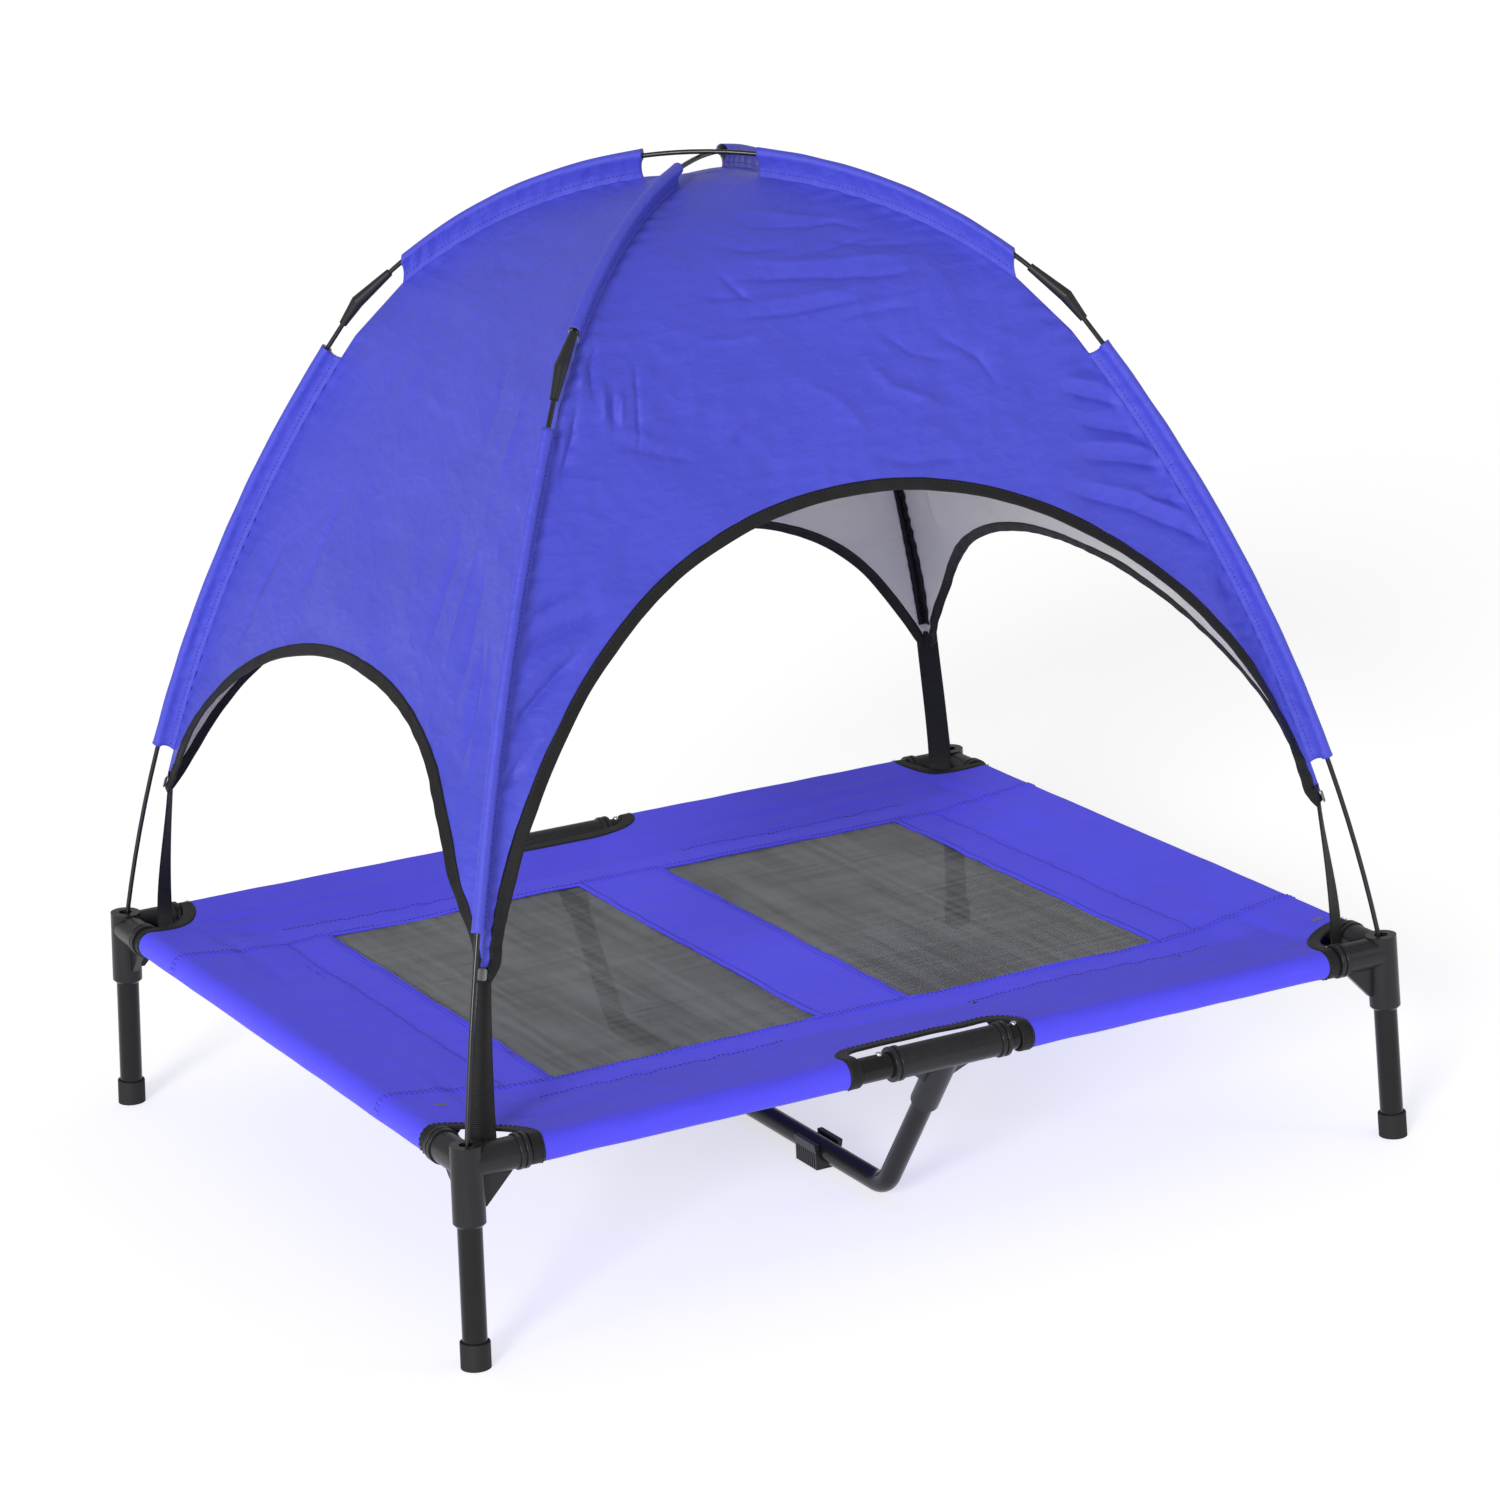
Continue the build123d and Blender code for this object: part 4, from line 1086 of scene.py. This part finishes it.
def hold_down_strap(corner):
    """Flat webbing strap, drawn together at its top, with a sewn hem at its foot."""
    side_x, side_y = CORNERS[corner]
    line, at = strap_path(corner)
    share = smooth_step(at / (strap_turned_by * at[-1]))
    lean = strap_top_turn + (strap_foot_turn - strap_top_turn) * share
    across = np.stack([side_x * np.cos(lean), -side_y * np.sin(lean), 0 * lean], -1)
    run = unit(np.gradient(line, axis=0))
    face = unit(np.cross(run, across))
    top_w = strap_w if corner == "back_right" else strap_top_w
    wide = (top_w + (strap_w - top_w) * smooth_step(at / (strap_full_by * at[-1]))) / 2
    cup = strap_cup * np.exp(-at / strap_cup_reach) + strap_wave * np.sin(at / (29 * MM) + ord(corner[0]))
    hem = smooth_step((at - at[-1] + strap_hem) / (2 * MM))
    thick = strap_t / 2 * (1 + strap_hem_swell * hem)
    flat_x, flat_y = squared(round_turns(ring_steps), 0.5)
    sideways = wide[:, None] * flat_x
    outward = thick[:, None] * flat_y + cup[:, None] * (1 - flat_x ** 2)
    grid = line[:, None] + sideways[..., None] * across[:, None] + outward[..., None] * face[:, None]
    flats = np.stack([np.repeat(at[:, None], ring_steps, 1), sideways], -1)
    made = sweep_rings("strap_" + corner, grid, flats, "canopy", WEBBING, closed=True)
    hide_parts("hold_down_strap_" + corner)
    row = int(np.argmin(np.abs(at - at[-1] + strap_hem_seam)))
    spread = np.linspace(-strap_seam_share, strap_seam_share, 12)[:, None]
    level = spread * wide[row] * across[row] + line[row] + cup[row] * (1 - spread ** 2) * face[row]
    for sign, label in ((1, "in"), (-1, "out")):
        normal = np.repeat(sign * face[row][None], len(level), axis=0)
        seam = level + normal * thick[row]
        stitches = "strap_stitches_" + label + "_" + corner
        stitch_row(stitches, seam, normal, STRAP_STITCH, "canopy", GREY_THREAD)


def tip_patch(corner):
    """Small patch of close stitching that joins the tapes and the strap at the tip."""
    out, across = corner_axes(corner)
    flat_x, flat_y = squared(round_turns(ring_steps), 0.6)
    rings = []
    flats = []
    for level in np.linspace(-patch_low, 0, patch_rows):
        z = post_top + tip_rise + level
        r = np.interp(z, SEAM[:, 1], SEAM[:, 0])
        share = (level + patch_low) / patch_low
        round_off = (1 - (2 * share - 1) ** 6) ** 0.5 * 0.3 + 0.7
        wide = flat_x * patch_half * round_off
        thick = flat_y * (0.8 + 0.2 * math.cos(14 * math.pi * share)) * MM * round_off
        middle = out * (r + 0.5 * MM) + np.array([0, 0, z])
        rings.append(middle + np.outer(wide, across) + np.outer(thick, out))
        flats.append(np.stack([np.full(ring_steps, level), wide], -1))
    name = "tip_patch_" + corner
    sweep_rings(name, np.array(rings), np.array(flats), "canopy", GREY_THREAD, closed=True)


for corner_name in CORNERS:
    pole_sleeve(corner_name)
    seam_tape(corner_name)
    hold_down_strap(corner_name)
    tip_patch(corner_name)

# Bed: one sheet whose edges wrap round the rails in sewn sleeves
cloth_t = 1.2 * MM
sleeve_slack = 0.3 * MM
hem_depth = 100 * MM
hem_seam = 8 * MM
wrap_r = rail_r + sleeve_slack + cloth_t
touch = math.acos(wrap_r / hem_depth)
slope_len = math.sqrt(hem_depth ** 2 - wrap_r ** 2)
slope_run = hem_depth - wrap_r * math.cos(touch)
slope_rise = wrap_r * math.sin(touch)
wrap_len = wrap_r * (2 * math.pi - 2 * touch)
flap_len = slope_len + wrap_len + slope_len - hem_seam
seam_x = post_x - hem_depth
seam_y = post_y - hem_depth
flap_x = seam_x + flap_len
flap_y = seam_y + flap_len
corner_cut = 53.3 * MM
flap_slant = 150 * MM
tee_cut_y = 24.9 * MM
tee_cut_round = 18 * MM
tee_cut_flare = 14 * MM
back_notch = (-84 * MM, 72 * MM)
back_notch_round = 52 * MM
front_notch = (-88 * MM, 67 * MM)
window_in = 44 * MM
window_out = post_x - 144 * MM
window_side = post_y - 137 * MM
bed_step = 4 * MM

# Pulls by each cut corner, in millimetres: where they start and stop, then place, width and height of each
pull_start = 55
pull_stop = 330
pull_grow = 30
pull_fade = 240
pull_drift = 8
PULLS = [(40, 6, 1.4), (52, 7, -1.5), (68, 8, 1.0)]

# Slack of the bed cloth: where it starts from the rails, the heights of its waves, the gathers along the hems
calm_from = 20 * MM
calm_over = 40 * MM
slack_h = 0.8 * MM
small_slack_h = 0.3 * MM
loose_h = 0.15 * MM
hem_gather_h = 0.8 * MM
hem_gather_reach = 9 * MM

# Grid of the bed sheet: step on the flat, and rows on the slope, round the rail and underneath
sheet_step = 7 * MM
slope_rows = 14
wrap_rows = 24
under_rows = 10
edge_clear = 3 * MM
outline_step = 5 * MM
window_step = 6 * MM
normal_step = 0.4 * MM


def wrapped(f, pitch):
    """Place and height for a flat distance from the middle past the rail at pitch, and if past the slope."""
    start = pitch - hem_depth
    on = f - start
    angle = touch + (on - slope_len) / wrap_r
    back = slope_len - (on - slope_len - wrap_len)
    zones = [on <= 0, on <= slope_len, on <= slope_len + wrap_len]
    places = [f, start + on / slope_len * slope_run, pitch - wrap_r * np.cos(angle)]
    heights = [0 * f, on / slope_len * slope_rise, wrap_r * np.sin(angle)]
    place = np.select(zones, places, start + back / slope_len * slope_run)
    height = np.select(zones, heights, -back / slope_len * slope_rise)
    return place, height, on > slope_len


def bed_shape(flat):
    """Points of the plain bed sheet for flat cloth points."""
    x, lift_x, over_x = wrapped(np.abs(flat[:, 0]), post_x)
    y, lift_y, over_y = wrapped(np.abs(flat[:, 1]), post_y)
    both = (np.maximum(lift_x, 0) ** 6 + np.maximum(lift_y, 0) ** 6) ** (1 / 6)
    z = np.where(over_x, lift_x, np.where(over_y, lift_y, both))
    return np.stack([np.sign(flat[:, 0]) * x, np.sign(flat[:, 1]) * y, rail_z + z], -1)


def bed_normals(flat):
    """Normals of the bed sheet, up on its top side."""
    east = np.array([normal_step, 0])
    north = np.array([0, normal_step])
    run_east = bed_shape(flat + east) - bed_shape(flat - east)
    run_north = bed_shape(flat + north) - bed_shape(flat - north)
    return unit(np.cross(run_east, run_north))


def bed_creases(flat):
    """Pulls in the cloth that run along the rails from each cut corner."""
    across = (post_x - np.abs(flat[:, 0])) / MM
    down = (post_y - np.abs(flat[:, 1])) / MM
    total = np.zeros(len(flat))
    for away, off in ((across, down), (down, across)):
        fade = smooth_step((away - pull_start) / pull_grow) * smooth_step((pull_stop - away) / pull_fade)
        for place, width, height in PULLS:
            drift = place + pull_drift * (away - pull_start) / pull_stop
            total += height * MM * fade * np.exp(-((off - drift) / width) ** 2)
    return total


def bed_cloth_points(flat):
    """Points and normals of the bed sheet with its slight slack."""
    points = bed_shape(flat)
    normals = bed_normals(flat)
    inside = np.minimum(post_x - np.abs(flat[:, 0]), post_y - np.abs(flat[:, 1]))
    calm = smooth_step((inside - calm_from) / calm_over)
    slack = slack_h * ripple(flat, 140 * MM, 7, 41) + small_slack_h * ripple(flat, 45 * MM, 7, 42)
    near_hem = np.exp(-np.abs(inside - hem_depth) / hem_gather_reach)
    gather = hem_gather_h * near_hem * ripple(flat, 21 * MM, 6, 43)
    loose = loose_h * ripple(flat, 60 * MM, 6, 44) * (1 - calm)
    return points + normals * (calm * (slack + gather) + loose + bed_creases(flat))[:, None], normals


def flat_of_top(place, pitch):
    """Flat distance of a place on the top side, up to the top of the rail."""
    start = pitch - hem_depth
    on_slope = start + (place - start) * slope_len / slope_run
    angle = np.arccos(np.clip((pitch - place) / wrap_r, -1, 1))
    on_rail = start + slope_len + wrap_r * (angle - touch)
    return np.where(place < start, place, np.where(place < start + slope_run, on_slope, on_rail))


def corner_edge():
    """Cut edge at the back right corner, flat, from the end flap's hem to the long flap's."""
    angle = np.linspace(2 * math.pi - touch, math.pi / 2, 24)
    reach = np.sqrt(corner_cut ** 2 - (wrap_r * np.cos(angle)) ** 2)
    on_wrap = slope_len + wrap_r * (angle - touch)
    right_wrap = np.stack([seam_x + on_wrap, post_y - reach], -1)
    back_wrap = np.stack([post_x - reach, seam_y + on_wrap], -1)
    sweep = np.linspace(math.pi / 2, 0, 26)[1:-1]
    top = np.stack([flat_of_top(post_x - corner_cut * np.cos(sweep), post_x),
                    flat_of_top(post_y - corner_cut * np.sin(sweep), post_y)], -1)
    first = [[flap_x, post_y - flap_slant]]
    last = [[post_x - flap_slant, flap_y]]
    return resample(np.concatenate([first, right_wrap, top, back_wrap[::-1], last]), bed_step)[0]


def tee_notch(low, high, high_round):
    """Notch for the tee in the back edge, flat, from its right side to its left one."""
    top = float(flat_of_top(np.array(post_y - tee_cut_y), post_y))
    rail_top = float(flat_of_top(np.array(post_y), post_y))
    under = 2 * seam_y + 2 * slope_len + wrap_len - top
    turn = np.linspace(0, math.pi / 2, 12)
    right = np.stack([high - high_round + high_round * np.cos(turn),
                      rail_top + (top - rail_top) * np.sin(turn)], -1)
    left = np.stack([low + tee_cut_round - tee_cut_round * np.sin(turn),
                     top + tee_cut_round - tee_cut_round * np.cos(turn)], -1)
    first = [[high + tee_cut_flare, flap_y], [high, under]]
    last = [[low, under], [low - tee_cut_flare, flap_y]]
    return resample(np.concatenate([first, right, left, last]), bed_step)[0]


def mirrored(line, side_x, side_y):
    """A line moved to another corner or side, keeping its turning sense."""
    turned = line * np.array([side_x, side_y])
    return turned if side_x * side_y > 0 else turned[::-1]


NOTCHES = {
    "back": tee_notch(*back_notch, back_notch_round),
    "front": mirrored(tee_notch(*front_notch, tee_cut_round), 1, -1),
}
CUTS = {corner: mirrored(corner_edge(), *signs) for corner, signs in CORNERS.items()}


def bed_outline():
    """Outer edge of the flat bed cloth, once round."""
    order = [CUTS["back_right"], NOTCHES["back"], CUTS["back_left"],
             CUTS["front_left"], NOTCHES["front"], CUTS["front_right"]]
    outline = np.concatenate(order + [order[0][:1]])
    return resample(outline, outline_step)[0][:-1]


def window_edge(sign):
    """Edge of a mesh window, once round."""
    x = np.array([window_in, window_out, window_out, window_in, window_in])
    y = np.array([-1, -1, 1, 1, -1]) * window_side
    return resample(mirrored(np.stack([x, y], -1), sign, 1), window_step)[0][:-1]


def inside_loop(points, loop):
    """Which points lie inside a closed loop, by counting crossings."""
    found = np.zeros(len(points), bool)
    for (ax, ay), (bx, by) in zip(loop, np.roll(loop, -1, axis=0)):
        crosses = (ay > points[:, 1]) != (by > points[:, 1])
        if crosses.any():
            place = ax + (points[crosses, 1] - ay) / (by - ay) * (bx - ax)
            found[crosses] ^= points[crosses, 0] < place
    return found


def on_bed(points, outline, holes):
    """Which flat points lie inside the bed's outline and outside its windows."""
    found = inside_loop(points, outline)
    for hole in holes:
        found &= ~inside_loop(points, hole)
    return found


def flat_steps(pitch):
    """Grid lines across the flat cloth on one axis: wide on the sheet, close round the rails."""
    start = pitch - hem_depth
    sheet = np.linspace(0, start, int(start / sheet_step) + 1)
    slope = start + np.linspace(0, slope_len, slope_rows)[1:]
    wrap = start + slope_len + np.linspace(0, wrap_len, wrap_rows)[1:]
    under = start + slope_len + wrap_len + np.linspace(0, slope_len - hem_seam, under_rows)[1:-1]
    half = np.concatenate([sheet, slope, wrap, under])
    return np.concatenate([-half[:0:-1], half])


def clear_of(points, border, cell):
    """Which points keep about a cell's distance from the border points."""
    near = {(int(x // cell) + i, int(y // cell) + j) for x, y in border for i in (0, 1) for j in (0, 1)}
    spots = ((points + cell / 2) // cell).astype(int)
    return np.array([(x, y) not in near for x, y in spots.tolist()])


def bed_cloth():
    """The bed cloth with its sleeves, windows, notches and cut corners."""
    outline = bed_outline()
    holes = [window_edge(1), window_edge(-1)]
    loops = [outline] + holes
    border = np.concatenate(loops)
    grid = np.stack(np.meshgrid(flat_steps(post_x), flat_steps(post_y)), -1).reshape(-1, 2)
    keep = on_bed(grid, outline, holes) & clear_of(grid, border, edge_clear)
    edges = []
    first = 0
    for loop in loops:
        edges += [(first + k, first + (k + 1) % len(loop)) for k in range(len(loop))]
        first += len(loop)
    points = np.concatenate([border, grid[keep]])
    result = delaunay_2d_cdt([tuple(p) for p in points], edges, [], 0, 1e-7)
    flat = np.array([tuple(v) for v in result[0]])
    faces = np.array([f for f in result[2] if len(f) == 3])
    faces = faces[on_bed(flat[faces].mean(axis=1), outline, holes)]
    ab = flat[faces[:, 1]] - flat[faces[:, 0]]
    ac = flat[faces[:, 2]] - flat[faces[:, 0]]
    turn = ab[:, 0] * ac[:, 1] - ab[:, 1] * ac[:, 0]
    faces[turn < 0] = faces[turn < 0][:, ::-1]
    shaped, _ = bed_cloth_points(flat)
    made = piece("bed_sheet", shaped, faces, "frame", [BED, BED_HEM_PAINTED_SHADE])
    set_uv(made, flat)
    # Faces of the doubled hem along the long sides take the darker hem colour: painted shade for the light
    # the doubled cloth does not let through.
    middle = np.abs(flat[faces].mean(axis=1))
    doubled = (middle[:, 1] > seam_y) & (middle[:, 0] < post_x - corner_cut)
    made.data.polygons.foreach_set("material_index", doubled.astype(np.int32))
    thicken(made, cloth_t)
    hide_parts("bed_cloth")


bed_cloth()

# Tapes, hems and seams sewn on the bed
bed_tape_w = 12 * MM
window_hem_w = 6 * MM
felled_w = 7 * MM
felled_lift = 0.7 * MM
felled_flare = -8 * MM
tape_stand = 1.5 * MM
hem_stand = 1.0 * MM
bound_cloth_t = 0.6 * MM
bound_wander = 0.3 * MM
bound_past_edge = 1 * MM
bound_under = 1.5 * MM
bound_stitch_in = 3 * MM
hem_seam_lift = 0.5 * MM
hem_seam_gap = 10 * MM
end_hem_seam_gap = 40 * MM

# Section of a felled seam: shares of its half width and of its lift
FELLED = np.array([(-1, -0.3), (-0.94, 0.8), (-0.4, 1), (0.4, 1), (0.94, 0.8), (1, -0.3)])


def bed_stitches(name, line, material, lift):
    """Stitches along a flat line on the bed's top side."""
    points, normals = bed_cloth_points(line)
    stitch_row(name, points + normals * lift, normals, BED_STITCH, "frame", material)


def bound_edge(name, line, closed, width, material):
    """Strip folded over a cut edge of the bed, and stitched; the cloth is on the left of the line."""
    if closed:
        line = np.concatenate([line, line[:1]])
    line, at = resample(line, 3 * MM)
    into = edge_frame(line)
    if closed:
        into[0] = unit(into[0] + into[-1])
        into[-1] = into[0]
    gap = cloth_t + (tape_stand if material is TAPE else hem_stand)
    section = folded_section(width, width - bound_under, gap)
    wander = bound_wander * ripple_along(at, 60 * MM, 51)
    columns = []
    for inward, outward in section:
        flat = line + into * (inward - bound_past_edge)
        columns.append(lifted(bed_cloth_points, flat, outward - cloth_t / 2 + wander))
    grid = np.stack(columns, 1)
    reach = lengths(section)
    made = sweep_rings(name, grid, strip_flats(at, reach), "frame", material)
    thicken(made, bound_cloth_t)
    thread = THREAD if material is TAPE else SEAM_SHADE_BLUE_THREAD
    lift = (gap - cloth_t) / 2 + 0.2 * MM
    bed_stitches(name + "_stitches", line + into * (width - bound_stitch_in), thread, lift)
    return made


def felled_seam(name, line):
    """Raised seam of doubled cloth along a flat line on the bed, stitched on both sides."""
    line, at = resample(line, bed_step)
    beside = edge_frame(line)
    half = felled_w / 2
    columns = [lifted(bed_cloth_points, line + beside * across * half, lift * felled_lift)
               for across, lift in FELLED[::-1]]
    flats = strip_flats(at, FELLED[:, 0] * half)
    made = sweep_rings(name, np.stack(columns, 1), flats, "frame", BED)
    for sign, label in ((-1, "a"), (1, "b")):
        bed_stitches(name + "_stitches_" + label, line + beside * sign * half * 0.7, SEAM_SHADE_BLUE_THREAD, felled_lift)


def hem_stitches(name, start, stop):
    """Stitches along a hem of the bed, from one flat point to another."""
    bed_stitches(name, resample(np.array([start, stop]), bed_step)[0], SEAM_SHADE_BLUE_THREAD, hem_seam_lift)


seam_from_middle = window_side + window_hem_w / 2
for corner_name, corner_signs in CORNERS.items():
    tape = bound_edge("bed_tape_" + corner_name, CUTS[corner_name], False, bed_tape_w, TAPE)
    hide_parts("bed_corner_bindings")
    seam_start = [window_out + window_hem_w / 2, seam_from_middle]
    seam_bend = [seam_x + slope_len * 0.6, window_side + felled_flare]
    seam_end = [seam_x + slope_len + wrap_len * 0.55, window_side + felled_flare]
    sewn = np.array([seam_start, seam_bend, seam_end]) * np.array(corner_signs)
    felled_seam("bed_seam_" + corner_name, sewn)
for end_name, end_sign in (("front", -1), ("back", 1)):
    across_rib = np.array([[-window_in, 0], [window_in, 0]])
    felled_seam("rib_seam_" + end_name, across_rib + np.array([0, seam_from_middle * end_sign]))
for end_name, notch in NOTCHES.items():
    tape = bound_edge("bed_tape_tee_" + end_name, notch, False, bed_tape_w, TAPE)
    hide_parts("bed_tee_bindings")
for end_name, end_sign in (("left", -1), ("right", 1)):
    bound_edge("window_hem_" + end_name, window_edge(end_sign)[::-1], True, window_hem_w, BED)
    hem_reach = seam_y - end_hem_seam_gap
    hem_x = seam_x * end_sign
    hem_stitches("end_hem_stitches_" + end_name, (hem_x, hem_reach), (hem_x, -hem_reach))
for end_name, end_sign, (notch_low, notch_high) in (("front", -1, front_notch), ("back", 1, back_notch)):
    hem_y = seam_y * end_sign
    for label, start, stop in (("a", notch_high, seam_x), ("b", -seam_x, notch_low)):
        hem_name = "side_hem_stitches_" + end_name + "_" + label
        hem_stitches(hem_name, (start + hem_seam_gap, hem_y), (stop - hem_seam_gap, hem_y))

# Bar tacks of grey thread beside the two front corners
TACKS = {"bar_tack_left": (-412 * MM, -257 * MM), "bar_tack_right": (428 * MM, -289 * MM)}
tack_threads = 9
tack_half = 4.5 * MM
tack_reach = 2.2 * MM
tack_lift = 0.1 * MM


def bar_tack(name, x, y):
    """Close threads side by side on the bed."""
    for number, across in enumerate(np.linspace(-tack_half, tack_half, tack_threads)):
        line = np.stack([np.full(5, x + across), y + np.linspace(-tack_reach, tack_reach, 5)], -1)
        points, normals = bed_cloth_points(line)
        row = points + normals * tack_lift
        stitch_row(name + "_" + str(number), row, normals, TACK_STITCH, "frame", GREY_THREAD)


for tack_name, tack_place in TACKS.items():
    bar_tack(tack_name, *tack_place)

# Open mesh in the two windows, woven from flat strands
strand_pitch = 1.8 * MM
strand_w = 1.55 * MM
strand_wave = 0.22 * MM
mesh_overlap = 9 * MM
mesh_drop = 1.9 * MM
mesh_sag = 2.2 * MM


def mesh_strands(places, run, along_x):
    """Points, flat places and faces of strands that pass over and under the crossing ones in turn."""
    strand, step = np.meshgrid(np.arange(len(places)), np.arange(len(run)), indexing="ij")
    over = np.where((strand + step) % 2 == 0, 1, -1) * (1 if along_x else -1)
    edges = np.array([-strand_w / 2, strand_w / 2])
    side = np.broadcast_to((places[:, None] + edges)[:, None], (*strand.shape, 2))
    along = np.broadcast_to(run[None, :, None], side.shape)
    height = np.broadcast_to((strand_wave * over)[..., None], side.shape)
    order = (along, side, height) if along_x else (side, along, height)
    k = 2 * (strand[:, :-1] * len(run) + step[:, :-1]).ravel()
    corners = (k, k + 2, k + 3, k + 1) if along_x else (k, k + 1, k + 3, k + 2)
    points = np.stack(order, -1).reshape(-1, 3)
    return points, np.stack([along, side], -1).reshape(-1, 2), np.stack(corners, -1)


def mesh_window(name, sign):
    """Woven mesh behind one window."""
    low = window_in - mesh_overlap
    high = window_out + mesh_overlap
    side = window_side + mesh_overlap
    xs = np.arange(low, high, strand_pitch)
    ys = np.arange(-side, side, strand_pitch)
    points_x, flats_x, faces_x = mesh_strands(ys, xs, True)
    points_y, flats_y, faces_y = mesh_strands(xs, ys, False)
    points = np.concatenate([points_x, points_y])
    faces = np.concatenate([faces_x, faces_y + len(points_x)])
    middle = (low + high) / 2
    sag = (1 - ((points[:, 0] - middle) / (middle - low)) ** 2) * (1 - (points[:, 1] / side) ** 2)
    points[:, 2] += rail_z - mesh_drop - mesh_sag * np.maximum(sag, 0)
    points[:, 0] *= sign
    made = piece(name, points, faces if sign > 0 else faces[:, ::-1], "frame", [MESH])
    set_uv(made, np.concatenate([flats_x, flats_y]))
    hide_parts("mesh_panel_" + ("right" if sign > 0 else "left"))


mesh_window("bed_net_left", -1)
mesh_window("bed_net_right", 1)

# Stage: pale floor, soft studio light, camera where the photo was taken
floor_half = 9.0
floor_mesh = bpy.data.meshes.new("floor")
floor_mesh.from_pydata([(x * floor_half, y * floor_half, 0) for x, y in CORNERS.values()], [], [(0, 1, 2, 3)])
floor = new_object("floor", floor_mesh)
floor_look = Look("pale_floor", {
    "Base Color": (0.62, 0.62, 0.62, 1), "Roughness": 0.9, "Specular IOR Level": 0.1,
    "Emission Color": (1, 1, 1, 1), "Emission Strength": 0.6})
floor.data.materials.append(floor_look.material)

world = bpy.data.worlds.new("studio")
bpy.context.scene.world = world
world.use_nodes = True
backdrop = world.node_tree.nodes["Background"]
backdrop.inputs["Color"].default_value = (1, 1, 1, 1)
backdrop.inputs["Strength"].default_value = 0.47


def placed(right, up, away, place):
    """Matrix of a light or camera from its own axes and its place."""
    return Matrix([[right[k], up[k], away[k], place[k]] for k in range(3)] + [[0, 0, 0, 1]])


def place_light(name, data, place, target):
    """A light that looks from a place at a target."""
    made = new_object(name, data)
    away = unit(np.array(place) - np.array(target))
    right = unit(np.cross([0, 0, 1.0], away))
    made.matrix_world = placed(right, np.cross(away, right), away, place)
    made.visible_camera = False


def area_light(name, place, target, size, power, tall=1.0):
    """Soft light aimed at a point, as wide as its size and so many times as tall."""
    data = bpy.data.lights.new(name, "AREA")
    data.shape = "RECTANGLE"
    data.energy = power
    data.size = size
    data.size_y = size * tall
    place_light(name, data, place, target)


middle_of_cot = (0, 0, 0.4)
key = bpy.data.lights.new("key", "SUN")
key.energy = 2.2
key.angle = math.radians(16)
place_light("key", key, (-3.4, -3.0, 1.9), middle_of_cot)
area_light("fill", (2.6, -2.6, 1.4), middle_of_cot, 0.5, 9, 3.6)
area_light("side_strip", (-2.6, -0.9, 0.9), middle_of_cot, 0.4, 4, 4.5)
area_light("inside", (0.0, 0.01, 0.62), (0, 0, 0.17), 0.4, 0.55)

camera_place = np.array([-1.8752, -3.5827, 1.5076])
camera_yaw = math.radians(27.90)
camera_pitch = math.radians(16.04)
camera_roll = math.radians(-2.668)
forward = np.array([math.sin(camera_yaw) * math.cos(camera_pitch),
                    math.cos(camera_yaw) * math.cos(camera_pitch), -math.sin(camera_pitch)])
level = np.array([math.cos(camera_yaw), -math.sin(camera_yaw), 0])
rise = np.cross(level, forward)
camera_right = math.cos(camera_roll) * level + math.sin(camera_roll) * rise
camera_up = -math.sin(camera_roll) * level + math.cos(camera_roll) * rise
camera_data = bpy.data.cameras.new("camera")
camera_data.sensor_width = 36
camera_data.lens = 114.18
camera = new_object("camera", camera_data)
camera.matrix_world = placed(camera_right, camera_up, -forward, camera_place)
bpy.context.scene.camera = camera
bpy.context.scene.view_settings.view_transform = "Standard"
